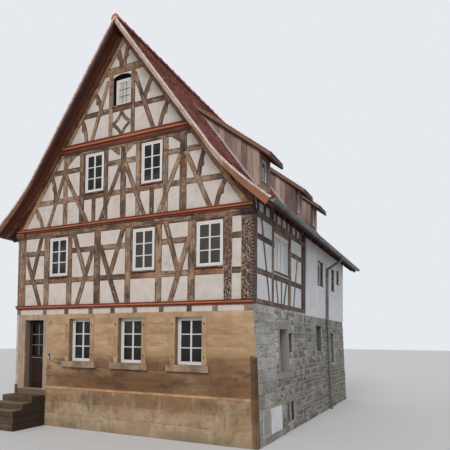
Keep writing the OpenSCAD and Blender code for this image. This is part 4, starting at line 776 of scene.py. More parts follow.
# In every store finish 0 is oak, 1 is the red rails under windows and 2 the tan rafters
def storeyTimbers(store, wall):
    f, low, plateZ, top = frameSizes, house["storey"], house["plate"], house["storeyTop"]
    inner = halfWidth - 0.33
    for b, w in posts:
        postBeside(store, wall, b * bay, w * f["post"], low - 0.02, f["windowFoot"] - 0.06,
                   plateZ + 0.02, upperWindows)
    level(store, wall, (plateZ + top) / 2, -inner - 0.02, inner + 0.02, top - plateZ, -0.003)
    edges = [-inner] + [b * bay for b, w in posts] + [inner]
    for i, (a, b) in enumerate(zip(edges, edges[1:])):
        level(store, wall, f["sillRail"], a, b, finish=int(any(a < u < b for u, w in upperWindows)))
        if i in (0, 2, 3, 5, 7):
            level(store, wall, f["upperRail"], a, b)
        for z in (f["sillRail"], plateZ + 0.05) if i else ():
            peg(wall, a - 0.035, z)
            peg(wall, a + 0.04, z + 0.02)
    for u, w in upperWindows:
        for k in (-1, 1):
            upright(store, wall, u + k * (w + f["jamb"]) / 2, f["sillRail"], plateZ + 0.01, f["jamb"], 0.004)
        sillBoard(store, wall, u, w, f["windowFoot"])
        block(store, wall, u - w / 2, u + w / 2, 0.012, 0.1, f["windowTop"] + 0.002, plateZ + 0.01, 0.003, 0.1)
    for pair in braces:
        ends = braceEnds(pair, low, plateZ - low)
        straightBrace(store, wall, ends, f["brace"])
        for p, q in (ends, ends[::-1]):
            spot = p + (q - p).normalized() * 0.05
            peg(wall, spot.x, spot.y, -0.0045)


# Half the width of the gable at a height, less what the rafters take
def reach(z, inset=0.19):
    return (frameSizes["ridge"] - z) / roofFall - inset


def gableTimbers(store, wall):
    f, foot, beam, peak = frameSizes, house["gable"], house["gableBeam"], house["peak"]
    drop = 0.175 / math.cos(roofAngle)
    for k in (-1, 1):
        apex = Vector((-k * 0.05, f["ridge"] - drop + 0.05 * roofFall))
        low = Vector((k * (f["ridge"] - drop - foot + 0.05) / roofFall, foot - 0.05))
        timber(store, wall, [apex, low], f["rafter"], -0.010 - 0.002 * k, finish=2, wander=0.008)
    for b, w in gablePosts:
        postBeside(store, wall, b * bay, w * f["post"], foot - 0.02, f["gableFoot"] - 0.06,
                   beam + 0.02, gableWindows)
    for b in (-1.012, 1.007):
        upright(store, wall, b * bay, foot - 0.02, f["gableSill"], 0.75 * f["post"], 0.001)
    z = f["gableSill"]
    edges = [-reach(z)] + [b * bay for b, w in gablePosts] + [reach(z)]
    for i, (a, b) in enumerate(zip(edges, edges[1:])):
        level(store, wall, z, a, b, finish=int(any(a < u < b for u, w in gableWindows)))
        for k in (-1, 1) if i else ():
            peg(wall, a + 0.03 * k, z - 0.02 * k)
    z = f["gableUpper"]
    for a, b in ((-reach(z), -1.464 * bay), (-0.576 * bay, 0.541 * bay), (1.444 * bay, reach(z))):
        level(store, wall, z, a, b)
    z = beam - 0.045
    level(store, wall, z, -reach(z) + 0.02, reach(z) - 0.02, 0.10, -0.002)
    for u, w in gableWindows:
        for k in (-1, 1):
            upright(store, wall, u + k * (w + 0.035) / 2, f["gableSill"], beam, f["gableJamb"], 0.004)
        sillBoard(store, wall, u, w, f["gableFoot"], 0.02, 0.03)
    for pair in gableBraces:
        ends = braceEnds(pair, foot, beam - foot)
        straightBrace(store, wall, ends)
        for share in (0.04, 0.95):
            peg(wall, *ends[0].lerp(ends[1], share), -0.0045)
    for pair in gableCurved:
        nosedBrace(store, wall, *braceEnds(pair, foot, beam - foot))
    for a, b in ((-1.677, -2.035), (-0.427, -0.099), (0.417, 0.109), (1.598, 1.876)):  # knees under the beam
        corner = [(a * bay, beam - 0.08), (b * bay, beam - 0.08), (b * bay, beam - abs(b - a) * bay)]
        plate(store, wall, corner, -0.004, 0.1)
    for u in topPosts:
        upright(store, wall, u, peak - 0.02, f["collar"], f["topPost"])
    z, (x0, x1) = f["topRail"], topPosts
    for a, b, finish in ((-reach(z), x0, 0), (x0, x1, 1), (x1, reach(z), 0)):
        level(store, wall, z, a, b, finish=finish)
    sillBoard(store, wall, topMiddle, f["topWide"], f["topFoot"], 0, 0.02, 0.08, 0.05)
    z = f["collar"]
    level(store, wall, z, -reach(z), reach(z), f["collarHeight"], -0.002)
    for pair in topBraces:
        straightBrace(store, wall, braceEnds(pair, peak, f["topTall"]), run=0.06)
    for pair in topCurved:
        nosedBrace(store, wall, *braceEnds(pair, peak, f["topTall"]))
    # the bowed diamond below the top window, with its row of notches
    x0, x1, z1 = x0 + 0.07, x1 - 0.07, f["topRail"] - f["rail"] / 2
    mid = Vector(((x0 + x1) / 2, (peak + z1) / 2))
    tips = [Vector((mid.x, z1)), Vector((x1, mid.y)), Vector((mid.x, peak)), Vector((x0, mid.y))]
    for i, (a, b) in enumerate(zip(tips, tips[1:] + tips[:1])):
        timber(store, wall, [bowed(a, b, f["bow"], s / 8) for s in range(9)], f["diamond"], 0.001 * i - 0.002)
        for s in range(1, 8):
            spot, half = bowed(a, b, f["bow"], s / 8), inward(b - a) * f["notch"]
            timber(store, wall, [spot - half, spot + half], 0.013, -0.008, 0.01, 0.0, 0.002, 0.0)


for name, wall, parts, nodes in (("frontTimbers", "front", [storeyTimbers], ["front_frame"]),
                                 ("gableTimbers", "front", [gableTimbers], ["gable_frame"]),
                                 ("rearTimbers", "rear", [storeyTimbers, gableTimbers], ["rear_frame"])):
    store = newStore()
    for build in parts:
        build(store, wall)
    makePiece(name, store, [oak, redOak, tanOak], nodes)

# The window of the sides: place, foot, width and height
sideSizes = {"headCount": 10, "headWidth": 0.18, "strut": 0.1, "window": (2.29, 3.37, 1.38, 1.08), "top": 5.3,
             "posts": (0.305, 0.635)}


def sideTimbers(store, wall):
    foot, length, top = house["sideStoneTop"], house["timberBay"], sideSizes["top"]
    high, low, plateZ = frameSizes["upperRail"], frameSizes["sillRail"], house["plate"]
    u, z, w, h = sideSizes["window"]
    p, q = (share * length for share in sideSizes["posts"])
    for y, wide, f in ((p, 0.18, 0), (q, 0.21, 0), (length - 0.25, 0.25, 1), (length - 0.12, 0.23, 1)):
        upright(store, wall, y, foot, top, wide, finish=f, tone=-0.75 if f else None)
    level(store, wall, foot + 0.065, 0.16, length, 0.13, -0.004)
    level(store, wall, plateZ + 0.09, 0.25, length, 0.18, -0.003)
    for z0, runs in ((high, ((0.25, p), (p, u - w / 2), (u + w / 2, q), (q, length))),
                     (low, ((0.25, p), (q, length), (p, q)))):
        for a, b in runs:
            level(store, wall, z0, a, b)
    for i in range(sideSizes["headCount"]):
        y = length * (i + 0.65) / sideSizes["headCount"]
        upright(store, wall, y, house["storeyTop"] - 0.01, top - 0.04, sideSizes["headWidth"], 0.001)
    for (a, z0), (b, z1) in (((0.117, plateZ), (0.251, house["storey"])), ((0.799, high), (0.709, foot)),
                             ((0.358, low), (0.408, foot)), ((0.463, low), (0.463, foot)),
                             ((0.565, low), (0.502, foot)), ((0.6025, low), (0.6025, foot))):
        ends = Vector((a * length, z0)), Vector((b * length, z1))
        straightBrace(store, wall, ends, sideSizes["strut"], 0.05, -0.002)
    block(store, wall, u - w / 2 - 0.05, u + w / 2 + 0.05, 0.008, 0.1, z + h, plateZ + 0.01, 0.004)
    sillBoard(store, wall, u, w, z, high=0.05)


side = newStore()
sideTimbers(side, "right")
sideTimbers(side, "left")
makePiece("sideTimbers", side, [darkOak, redOak], ["side_frames"])

eighths = [k * math.pi / 4 for k in range(8)]
pegVerts = [(0.013 * math.cos(a), 0.013 * math.sin(a), z) for z in (-0.02, 0.005) for a in eighths]
pegFaces = [list(range(8))[::-1]] + bandFaces(8, 2) + [[8 + k, 8 + (k + 1) % 8, 16] for k in range(8)]
pegShape = pegVerts + [(0, 0, 0.008)], pegFaces
wallTurn = {"front": ((1, 0, 0), (0, 0, 1), (0, -1, 0)), "rear": ((-1, 0, 0), (0, 0, 1), (0, 1, 0)),
            "right": ((0, 1, 0), (0, 0, 1), (1, 0, 0)), "left": ((0, -1, 0), (0, 0, 1), (-1, 0, 0))}
pegs = [(onWall(w, u, d, z), turnTo(*wallTurn[w]), (1, 1, 1), random.random()) for w, u, z, d in pegSpots]
placeCopies("timberPegs", pegs, pegShape, darkOak, "oak", Tilt=0.05, Size_spread=0.15)

print("joist ends, mouldings and corner posts")
joistStore = newStore()
joists = [(b * bay - 0.075, b * bay + 0.075, -0.012, 0.012)
          for b in (-2.834, -1.965, -1.042, -0.253, 0.511, 1.365, 2.218, 2.968)]
joists += [(-halfWidth, -halfWidth + 0.15, -0.008, 0.01), (halfWidth - 0.24, halfWidth, -0.008, 0.01)]
for wall in ("front", "rear"):
    for a, b, d, bevel in joists:
        block(joistStore, wall, a, b, d, 0.1, house["stoneTop"], house["beamLow"] + 0.01, bevel)
makePiece("joistEndBlocks", joistStore, [darkOak], ["joist_ends"])


# Fillet, cove, round and top bead, from the back foot round the face to the back top
def beamProfile(h, out=0.085):
    points = [(-0.16, 0), (0.006, 0), (0.010, h * 0.03), (out * 0.25, h * 0.05), (out * 0.27, h * 0.16)]
    points += [(out * (0.27 + 0.36 * (1 - math.cos(a))), h * (0.16 + 0.17 * math.sin(a)))
               for a in (0.5, 1.0, 1.5)]
    points += [(out * 0.66 + h * 0.1512 * math.cos(a), h * (0.56 + 0.21 * math.sin(a)))
               for a in (-1.45, -0.9, -0.4, 0.1, 0.6, 1.1, 1.45)]
    bead = ((0.70, 0.80), (0.98, 0.84), (1, 0.88), (1, 0.97), (0.96, 1))
    return points + [(out * x, h * z) for x, z in bead] + [(-0.16, h)]


# Tones of the profile's points: the paint is rubbed off the round and the bead; the cove and the hollow before
# the bead are painted darker as shade
beamWearAndShadeTones = [0.1, 0.1, 0.25, 0.5, 0.45, 0.3, 0.2, 0.12, 0.3, 0.62, 0.85, 0.92, 0.8, 0.5, 0.2,
             0.05, 0.35, 0.5, 0.4, 0.1, 0.05]
beams, gableBeam = newStore(), newStore()
for wall in ("front", "rear"):
    for z in (house["beamLow"], house["storeyTop"]):
        for a, b in ((-halfWidth, -1.4), (-1.4, 1.7), (1.7, halfWidth)):
            moulded(beams, wall, a, b, z, beamProfile(0.13), beamWearAndShadeTones, 0.0015)
underBoard = [(-0.16, 0), (0.012, 0), (0.02, 0.01), (0.02, 0.05), (0.012, 0.062), (-0.16, 0.062)]
for wall in ("front", "rear"):
    z, far = house["gableBeam"], reach(house["gableBeam"], 0) - 0.19 / roofFall
    moulded(gableBeam, wall, 0.05 - far, far - 0.05, z + 0.06, beamProfile(0.19), beamWearAndShadeTones,
            wander=0.002, slant=1 / roofFall)
    moulded(gableBeam, wall, 0.01 - far, far - 0.01, z, underBoard, 0.1, slant=1 / roofFall)
makePiece("carvedBeams", beams, [beamPaint], ["lower_moulding", "upper_moulding"])
makePiece("gableBeam", gableBeam, [beamPaint], ["gable_moulding"])

carving = {"deep": 0.014, "grid": 0.011, "plainGrid": 0.045, "vine": 0.30, "leaf": 0.033, "carvedShare": 0.965,
           "postWide": 0.33, "postDeep": 0.25, "rope": 0.05}


# Height of the carving, 0 to 1: a border fillet, a waving stem and small leaves between
def relief(u, v, width, height):
    edge = min(u, width - u)
    if edge < 0.012:
        return 0.75
    if edge < 0.02 or v < 0.03:
        return 0.1
    if v > carving["carvedShare"] * height:
        return 0.6
    sway = width * 0.24 * math.sin(2 * math.pi * v / carving["vine"])
    stem = math.exp(-((u - width / 2 - sway) / 0.011) ** 2)
    near = noise.voronoi((u / carving["leaf"], v / carving["leaf"], 0.3))[0]
    leaf = min(1.0, (near[1] - near[0]) * 2.2) * (1 - 0.55 * math.exp(-(near[0] / 0.13) ** 2))
    return min(1.0, max(0.8 * stem, 0.95 * leaf))


def twist(v, s):
    return 0.32 + 0.32 * math.sin(2 * math.pi * (v / 0.085 + s / 0.1))


# A corner post as one loft of level rings; the two outer faces carry the carving, the arris a twisted rope
def cornerPost(store, wall, k, carved):
    wide, deep, rope, foot = carving["postWide"], carving["postDeep"], carving["rope"], house["storey"] - 0.01
    tall = house["plate"] + 0.01 - foot
    rows, nf, ns = (round(size / carving["grid" if carved else "plainGrid"]) for size in (tall, wide, deep))
    rings, tones = [], []
    for v in (tall * i / rows for i in range(rows + 1)):
        ring = []
        for j in range(nf + 1):
            u = wide * j / nf
            if not carved:
                h = 0.8 - 0.5 * math.exp(-((u - rope) / 0.012) ** 2)
                h -= 0.5 * math.exp(-((u - wide + rope) / 0.012) ** 2)
            else:
                h = relief(u, v, wide - rope, tall) if u < wide - rope else twist(v, u - wide)
            ring.append((halfWidth - wide + u + (0.004 if j == nf else 0), -(h - 0.5) * carving["deep"], h))
        for s in (deep * j / ns for j in range(1, ns + 1)):
            h = 0.6 if not carved else relief(s, v, deep, tall) if s > rope else twist(v, -s)
            ring.append((halfWidth + (h - 0.5) * carving["deep"], s, h))
        ring.append((halfWidth - wide, deep, 0.5))
        rings.append([onWall(wall, k * x, d, foot + v) for x, d, h in ring])
        tones += [h for x, d, h in ring]
    across = [wide * j / nf for j in range(nf + 1)] + [wide + deep * j / ns for j in range(1, ns + 1)]
    loft(store, rings, across + [wide + deep + 0.4], [tall * i / rows for i in range(rows + 1)], tones)


console = [(0.0, 4.56), (0.028, 4.563), (0.03, 4.585), (0.055, 4.592), (0.08, 4.612), (0.094, 4.645),
           (0.098, 4.68), (0.115, 4.685), (0.118, 4.74), (-0.02, 4.74), (-0.02, 4.56)]
rightPosts, leftPosts = newStore(), newStore()
corners = (("front", 1, rightPosts, 0), ("rear", -1, rightPosts, 0),
           ("front", -1, leftPosts, 1), ("rear", 1, leftPosts, 1))
for wall, k, store, finish in corners:
    cornerPost(store, wall, k, wall == "front" and k > 0)
for wall, k, store, finish in corners:
    places = [k * (halfWidth - inset) for inset in (carving["postWide"], carving["postWide"] - 0.02, 0.02, 0)]
    rings = [[onWall(wall, x, -out, z) for out, z in console] for x in places]
    loft(store, rings, [0.1 * i for i in range(len(console))], [0, 0.02, 0.31, 0.33], 0.3, finish)
    deep, sideWall = carving["postDeep"], "right" if store is rightPosts else "left"
    y = 0.0 if wall == "front" else depth - deep
    block(store, sideWall, y, y + deep, -0.008, 0.1, 4.555, house["storeyTop"], 0.01, 0.3, finish)
makePiece("carvedCornerPosts", rightPosts, [carvedOak], ["corner_posts"], smooth=60)
makePiece("plainCornerPosts", leftPosts, [oak, redOak], smooth=60)
panel = {"rows": 186, "columns": 20, "wide": 0.226, "tall": 2.06, "u": 3.3348, "z": 2.455, "whole": 1.0}
carvedPanel, rings, tones = newStore(), [], []
places = [panel["wide"] * j / panel["columns"] for j in range(panel["columns"] + 1)]
levels = [panel["tall"] * i / panel["rows"] for i in range(panel["rows"] + 1)]
for v in levels:  # the carving is worn away above the height "whole"
    heights = [relief(u, v, panel["wide"], 2.2) * (1 if v < panel["whole"] else 0.65) for u in places]
    ring = [(u, -0.004 - 0.010 * h) for u, h in zip(places, heights)] + [(panel["wide"], 0.06), (0, 0.06)]
    rings.append([(panel["u"] - panel["wide"] / 2 + u, d, panel["z"] + v) for u, d in ring])
    tones += [h if v < panel["whole"] else 0.35 + 0.35 * h for h in heights] + [0.5, 0.5]
loft(carvedPanel, rings, [0.012 * j for j in range(panel["columns"] + 3)], levels, tones)
makePiece("carvedPostFace", carvedPanel, [carvedOak], smooth=60)

print("windows")
windowSizes = {"frame": 0.046, "sash": 0.044, "middle": 0.05, "bar": 0.028}


# Frame, two sashes, glazing bars and one pane of glass; rows is the number of panes in height
def addWindow(frames, panes, wall, u, z, w, h, d, rows=1, glass=0, columns=2, cames=0.0):
    f, s, m = min(windowSizes["frame"], w * 0.09), windowSizes["sash"], windowSizes["middle"]
    x0, x1, z0, z1 = u - w / 2 + f, u + w / 2 - f, z + f * 0.9, z + h - f
    low, high = z0 + s * 0.9, z1 - s * 0.9

    def bar(a, b, c, e, front, back, bevel, tone=None, finish=0):
        block(frames, wall, a, b, d + front, d + back, c, e, bevel, tone, finish)

    bar(u - w / 2, u + w / 2, z1, z + h, 0, 0.06, 0.004)
    bar(u - w / 2, u + w / 2, z, z0, 0, 0.06, 0.004)
    for a in (u - w / 2, x1):
        bar(a, a + f, z + f * 0.85, z + h - f * 0.95, 0.001, 0.06, 0.004)
    for c in (z0, z1 - s):
        bar(x0, x1, c, c + s, 0.010, 0.052, 0.006)
    for a in (x0, x1 - s):
        bar(a, a + s, low, high, 0.012, 0.052, 0.006)
    for x in (x0 + s + (x1 - x0 - 2 * s) * i / 3 for i in (1, 2) if cames):  # lead cames instead of bars
        bar(x - cames / 2, x + cames / 2, low, high, 0.016, 0.045, 0.002, 0.5, 1)
    if columns == 2:
        bar(u - m / 2, u + m / 2, low, high, 0.007, 0.052, 0.006)
        bar(u - 0.008, u + 0.008, z0 + 0.01, z1 - 0.01, 0.001, 0.03, 0.003)
    for i in range(1, rows):
        y, b = z0 + s + (z1 - z0 - 2 * s) * i / rows, cames or windowSizes["bar"]
        bar(x0 + s * 0.9, x1 - s * 0.9, y - b / 2, y + b / 2, 0.014, 0.048, 0.005, None, 1 if cames else 0)
    lap = s * 0.8
    block(panes, wall, x0 + lap, x1 - lap, d + 0.028, d + 0.034, z0 + lap, z1 - lap, 0.0005, 0.5, glass)


def windowPieces(kind, frames, panes, finishes, glasses):
    makePiece(kind + "WindowFrames", frames, finishes, [kind + "_windows"])
    makePiece(kind + "WindowGlass", panes, glasses, [kind + "_glass"])


groundWindows = [b * bay for b in (-1.434, 0.352, 2.203)]
frames, panes = newStore(), newStore()
for wall in ("front", "rear"):
    for u in groundWindows:
        addWindow(frames, panes, wall, u, z=0.78, w=0.8, h=1.26, d=0.15, rows=3)
for wall in ("right", "left"):
    for y in (2.28, depth - 2.28):
        blind = wall == "right" and y < depth / 2
        addWindow(frames, panes, wall, y, z=0.55, w=0.69, h=1.22, d=0.2, glass=int(blind))
addWindow(frames, panes, "right", 2.77, z=-0.91, w=0.66, h=0.56, d=0.2)
windowPieces("ground", frames, panes, [whitePaint], [windowGlass, brownBlind])

frames, panes, casings = newStore(), newStore(), newStore()
for wall in ("front", "rear"):
    for u, w in upperWindows:
        addWindow(frames, panes, wall, u, frameSizes["windowFoot"], w, h=1.18, d=0.02, rows=3)
# Place, foot, width and height of the windows in the plastered part of the sides
plasterWindows = ((6.75, 3.55, 0.8, 0.87), (8.9, 3.55, 0.5, 0.87), (9.9, 3.94, 0.42, 0.56))
for wall in ("right", "left"):
    u, z, w, h = sideSizes["window"]
    for k in (-1, 1):
        addWindow(frames, panes, wall, u + k * w / 4, z, w / 2, h, d=0.02, glass=int(wall == "right"))
    for y, z, w, h in plasterWindows:
        addWindow(frames, panes, wall, y, z, w, h, d=0.06, columns=2 if w > 0.6 else 1, glass=2)
for wall in ("right", "left"):
    for y, z, w, h in plasterWindows:
        block(casings, wall, y - w / 2 - 0.05, y + w / 2 + 0.05, -0.065, 0.07, z - 0.045, z - 0.004, 0.008)
        for k in (-1, 1):
            x = y + k * (w / 2 - 0.006)
            block(casings, wall, x - 0.010, x + 0.010, -0.034, 0.06, z, z + h, 0.003)
        block(casings, wall, y - w / 2, y + w / 2, -0.034, 0.06, z + h - 0.016, z + h, 0.003)
makePiece("sideWindowCasings", casings, [darkOak])
windowPieces("upper", frames, panes, [whitePaint], [windowGlass, paleSkyReflectionGlass, duskySkyReflectionGlass])

frames, panes, lining = newStore(), newStore(), newStore()
topWindow = {"w": 0.63, "h": 0.82, "rise": 0.08, "d": 0.09, "lining": 0.016, "came": 0.014}
for wall in ("front", "rear"):
    for u, w in gableWindows:
        addWindow(frames, panes, wall, u, frameSizes["gableFoot"], w, h=1.17, d=0.02, rows=3)
    u, z = topMiddle, frameSizes["topFoot"]
    w, h, rise, d, board, came = topWindow.values()
    back = d + 0.06
    edge = [(u - w / 2 + w * s / 12, z + h + rise * (1 - (s / 6 - 1) ** 2)) for s in range(13)]
    inner = [(u + (x - u) * (1 - 2 * board / w), y - board) for x, y in edge]
    plate(lining, wall, edge + inner[::-1], 0.012, back, 0.4)
    plate(lining, wall, inner + [(x, z + h - 0.03) for x, y in inner[::-1]], d + 0.02, back, 0.1)
    for k in (-1, 1):
        x = u + k * (w - board) / 2
        block(lining, wall, x - board / 2, x + board / 2, 0.012, back, z, z + h + 0.002, 0.002, 0.1)
    addWindow(frames, panes, wall, u + 0.012, z + 0.01, w - 0.07, h - 0.04, d + 0.001, 3, 1, 1, came)
windowPieces("attic", frames, panes, [whitePaint, zinc], [windowGlass, curtainGlass])
# The reveal's lining takes the nearly black door oak: painted shade in the reveal
makePiece("topWindowReveal", lining, [doorWood])

print("stonework")
stone = {"joint": 0.006, "proud": 0.007, "cutBack": 0.15, "bevel": 0.007, "patch": 0.16}
joint = stone["joint"] / 2


# Cuts holes (u0, u1, z0, z1) out of rectangles given the same way
def withoutHoles(rects, holes):
    for h in holes:
        kept = []
        for a, b, c, d in rects:
            if b <= h[0] or a >= h[1] or d <= h[2] or c >= h[3]:
                kept.append((a, b, c, d))
                continue
            kept += [(a, h[0], c, d)] if a < h[0] else []
            kept += [(h[1], b, c, d)] if b > h[1] else []
            kept += [(max(a, h[0]), min(b, h[1]), c, h[2])] if c < h[2] else []
            kept += [(max(a, h[0]), min(b, h[1]), h[3], d)] if d > h[3] else []
        rects = kept
    return [r for r in rects if r[1] - r[0] > 0.05 and r[3] - r[2] > 0.03]


def courses(u0, u1, levels, lengths, minimum):
    rects = []
    for low, high in zip(levels, levels[1:]):
        u = u0 - random.uniform(0, lengths[0] * 0.6)
        while u < u1:
            step = random.uniform(*lengths)
            a, b = max(u, u0), min(u + step, u1)
            if u1 - b < minimum:
                b, step = u1, u1 - u + 1
            if b - a > 0.02:
                rects.append((a, b, low, high))
            u += step
    return rects


# Where the leaning right wall stands at a height
def cornerAt(z):
    return halfWidth + lean * (house["sideStoneTop"] - z)


# Facing stones of the front, gently uneven with a chamfered edge; the last of a course ends at the corner
def layFacing(store, rects, cornerGap, d0, d1, dome):
    bevel, patch = stone["bevel"], stone["patch"]
    for a, b, c, d in rects:
        ends = [cornerAt(z) - cornerGap(d) if b > halfWidth - 0.01 else b - joint for z in (c, d)]
        a, c, d, tone = a + joint, c + joint, d - joint, random.random()
        nu, nz = max(1, round((max(ends) - a) / patch)), max(1, round((d - c) / patch))
        su, sz = bevel / max(0.05, ends[0] - a), bevel / max(0.05, d - c)

        def at(s, t):
            return (a * (1 - s) + ends[0] * s) * (1 - t) + (a * (1 - s) + ends[1] * s) * t, c * (1 - t) + d * t

        face = [at(su + (1 - 2 * su) * i / nu, sz + (1 - 2 * sz) * j / nz)
                for j in range(nz + 1) for i in range(nu + 1)]
        verts = [(u, d0 + dome * noise.noise((u * 5, z * 5, tone * 9)), z) for u, z in face]
        faces = [[j * (nu + 1) + i, j * (nu + 1) + i + 1, (j + 1) * (nu + 1) + i + 1, (j + 1) * (nu + 1) + i]
                 for j in range(nz) for i in range(nu)]
        around = [(i, 0) for i in range(nu + 1)] + [(nu, j) for j in range(1, nz + 1)]
        around += [(i, nz) for i in range(nu - 1, -1, -1)] + [(0, j) for j in range(nz - 1, 0, -1)]
        rim, first, n = [j * (nu + 1) + i for i, j in around], len(verts), len(around)
        for y in (d0 + bevel * 0.7, d1):
            verts += [(u, y, z) for u, z in (at(i / nu, j / nz) for i, j in around)]
        for k in range(n):
            j = (k + 1) % n
            faces.append([rim[k], first + k, first + j, rim[j]])
            faces.append([first + k, first + n + k, first + n + j, first + j])
        addSolid(store, verts, faces + [[first + n + k for k in range(n)]], None, tone)


windowHoles = [(u - half, u + half, z0, z1) for half, z0, z1 in ((0.54, 0.78, 2.18), (0.63, 0.61, 0.78))
               for u in groundWindows]
ashlar, plinth = newStore(), newStore()
rects = courses(-2.72, halfWidth, [0.0, 0.3, 0.61, 0.94, 1.27, 1.58, 1.87, house["stoneTop"]], (0.7, 1.35), 0.4)
rects = withoutHoles(rects, windowHoles)
layFacing(ashlar, rects, lambda top: (stone["cutBack"] if top < 1.02 else 0.0) + 0.004,
          -stone["proud"], 0.03, 0.0015)
makePiece("frontAshlar", ashlar, [sandstone])
rects = courses(-2.70, halfWidth, [house["ground"], -0.80, -0.42, -0.05], (0.6, 1.15), 0.4)
layFacing(plinth, rects, lambda top: stone["cutBack"], -0.030 - stone["proud"], 0.0, 0.006)
joints = [-2.70, -1.6, -0.35, 0.9, 2.1, 3.1, cornerAt(0) - stone["cutBack"]]
for a, b in zip(joints, joints[1:]):  # the ledge on top of the plinth
    rings = [[(x, -0.044, -0.05), (x, -0.046, -0.012), (x, -0.006, 0.014), (x, 0.02, 0.014), (x, 0.02, -0.05)]
             for x in (a + 0.002, (a + b) / 2, b - 0.002)]
    loft(plinth, rings, [0, 0.05, 0.1, 0.12, 0.2], [0, (b - a) / 2, b - a], random.uniform(0.3, 0.9), 1)
makePiece("plinthFacing", plinth, [plinthStone, ledgeStone])


# A domed field stone, one unit wide, high and deep, on its own X, Y and Z
def fieldStone(sides=10):
    verts = []
    for scale, z in ((1.0, 0.0), (0.97, 0.55), (0.80, 0.92)):
        for k in range(sides):
            a = 2 * math.pi * (k + 0.5) / sides
            c, s = math.cos(a), math.sin(a)
            r = 0.5 / (abs(c) ** 4 + abs(s) ** 4) ** 0.25
            verts.append((r * c * scale, r * s * scale, z))
    crown = [[2 * sides + k, 2 * sides + (k + 1) % sides, 3 * sides] for k in range(sides)]
    return verts + [(0, 0, 1.0)], bandFaces(sides, 3) + crown + [list(range(sides))[::-1]]


def rubbleRects(u0, u1, z1, high, long):
    rects, z = [], house["ground"]
    while z < z1 - 0.04:
        step = random.uniform(*high)
        top = z1 if z1 - z - step < high[0] * 0.7 else z + step
        u = u0
        while u < u1 - 0.02:
            wide = random.uniform(*long)
            end = u1 if u1 - u - wide < long[0] * 0.7 else u + wide
            if top - z > 0.17 and random.random() < 0.35:
                cut = random.uniform(0.4, 0.6) * (top - z)
                rects += [(u, end, z, z + cut), (u, end, z + cut, top)]
            else:
                rects.append((u, end, z, top))
            u = end
        z = top
    return rects


def layStones(name, wall, rects, holes, out, leaning=False):
    spots, tilt = [], math.atan(lean)
    x, y, n = wallTurn[wall]
    if leaning:
        y, n = (-math.sin(tilt), 0, math.cos(tilt)), (math.cos(tilt), 0, math.sin(tilt))
    for a, b, c, d in withoutHoles(rects, holes):
        u, z = (a + b) / 2, (c + d) / 2
        place = onWall(wall, u, (halfWidth - cornerAt(z) if leaning else 0) + 0.02, z)
        size = (b - a - 0.014, d - c - 0.014, 0.02 + random.uniform(*out))
        spots.append((place, turnTo(x, y, n), size, random.random()))
    placeCopies(name, spots, fieldStone(), rubble, "rubble", smooth=50,
                Tilt=0.025, Size_spread=0.03, Wander=0.022, Wander_scale=9.0)


annexHole = (house["timberBay"], depth, 2.28, 2.4)  # beside the timber bay the plaster starts lower
# Windows, their sills, cellar openings and the hatches of the right wall
sideHoles = [(1.79, 2.77, 0.55, 1.91), (1.70, 2.86, 0.38, 0.55), (2.28, 3.28, -0.96, -0.12),
             (2.785, 3.185, 1.09, 1.66), (0.34, 1.86, -1.0, -0.30), (6.15, 7.04, 1.06, 2.0),
             (depth - 2.64, depth - 1.92, 0.5, 1.80)]
rects = rubbleRects(1.55, depth, 2.30, (0.11, 0.24), (0.16, 0.44))
layStones("rightRubble", "right", rects, sideHoles + [annexHole], (0.012, 0.034), leaning=True)
# Squared stones near the front corner, on the same leaning face
levels = [house["ground"], -0.86, -0.55, -0.25, 0.08, 0.38, 0.70, 1.02, 1.34, 1.62, 1.92, 2.14, 2.345]
rects = [(max(a, stone["cutBack"]) if d < 1.03 else a, b, c, d)
         for a, b, c, d in courses(0.02, 1.55, levels, (0.42, 0.8), 0.3)]
quoin = newStore()
for a, b, c, d in withoutHoles(rects, sideHoles):
    verts = []
    for out, s in ((0.012, 0.010), (0.004, 0.003), (-0.03, 0.003)):
        low, high = cornerAt(c) + out, cornerAt(d) + out
        verts += [(low, a + s, c + s), (low, b - s, c + s), (high, b - s, d - s), (high, a + s, d - s)]
    addSolid(quoin, verts, cutBoxFaces, None, random.uniform(0.45, 0.85))
makePiece("cornerStones", quoin, [rubble])
leftHoles = [(y - 0.36, y + 0.36, 0.5, 1.8) for y in (2.28, depth - 2.28)] + [annexHole]
for name, wall, *span, holes in (("leftRubble", "left", 0.3, depth, 2.30, leftHoles),
                                 ("rearRubble", "rear", -halfWidth, halfWidth, 2.17, windowHoles)):
    layStones(name, wall, rubbleRects(*span, (0.15, 0.28), (0.22, 0.55)), holes, (0.006, 0.022))

print("steps")
stepSizes = {"bevel": 0.016, "hollow": 0.010, "hollowAt": -3.3, "rough": 0.004, "cut": 0.3, "blocks": (
    ((-3.955, -0.54, -0.436), (-2.715, -0.03, -0.268)), ((-3.95, -0.868, -0.606), (-2.72, -0.03, -0.44)),
    ((-3.955, -1.2, -0.776), (-2.715, -0.03, -0.61)), ((-3.95, -1.19, -0.98), (-3.3, -0.03, -0.78)),
    ((-3.295, -1.19, -0.98), (-2.72, -0.03, -0.78)), ((-3.95, -1.195, -1.18), (-2.72, -0.03, -0.985)))}
work = bmesh.new()
for low, high in stepSizes["blocks"]:
    made = bmesh.ops.create_cube(work, size=1.0)["verts"]
    centre, size = (Vector(low) + Vector(high)) / 2, Vector(high) - Vector(low)
    for v in made:
        v.co = v.co * size + centre
    edges = list(dict.fromkeys(e for v in made for e in v.link_edges))
    bmesh.ops.bevel(work, geom=edges, offset=stepSizes["bevel"], segments=2, affect="EDGES", profile=0.6)
longEdges = [e for e in work.edges if e.calc_length() > stepSizes["cut"]]
bmesh.ops.subdivide_edges(work, edges=longEdges, cuts=5, use_grid_fill=True)
noise.seed_set(7)  # noise_vector starts from the clock without it
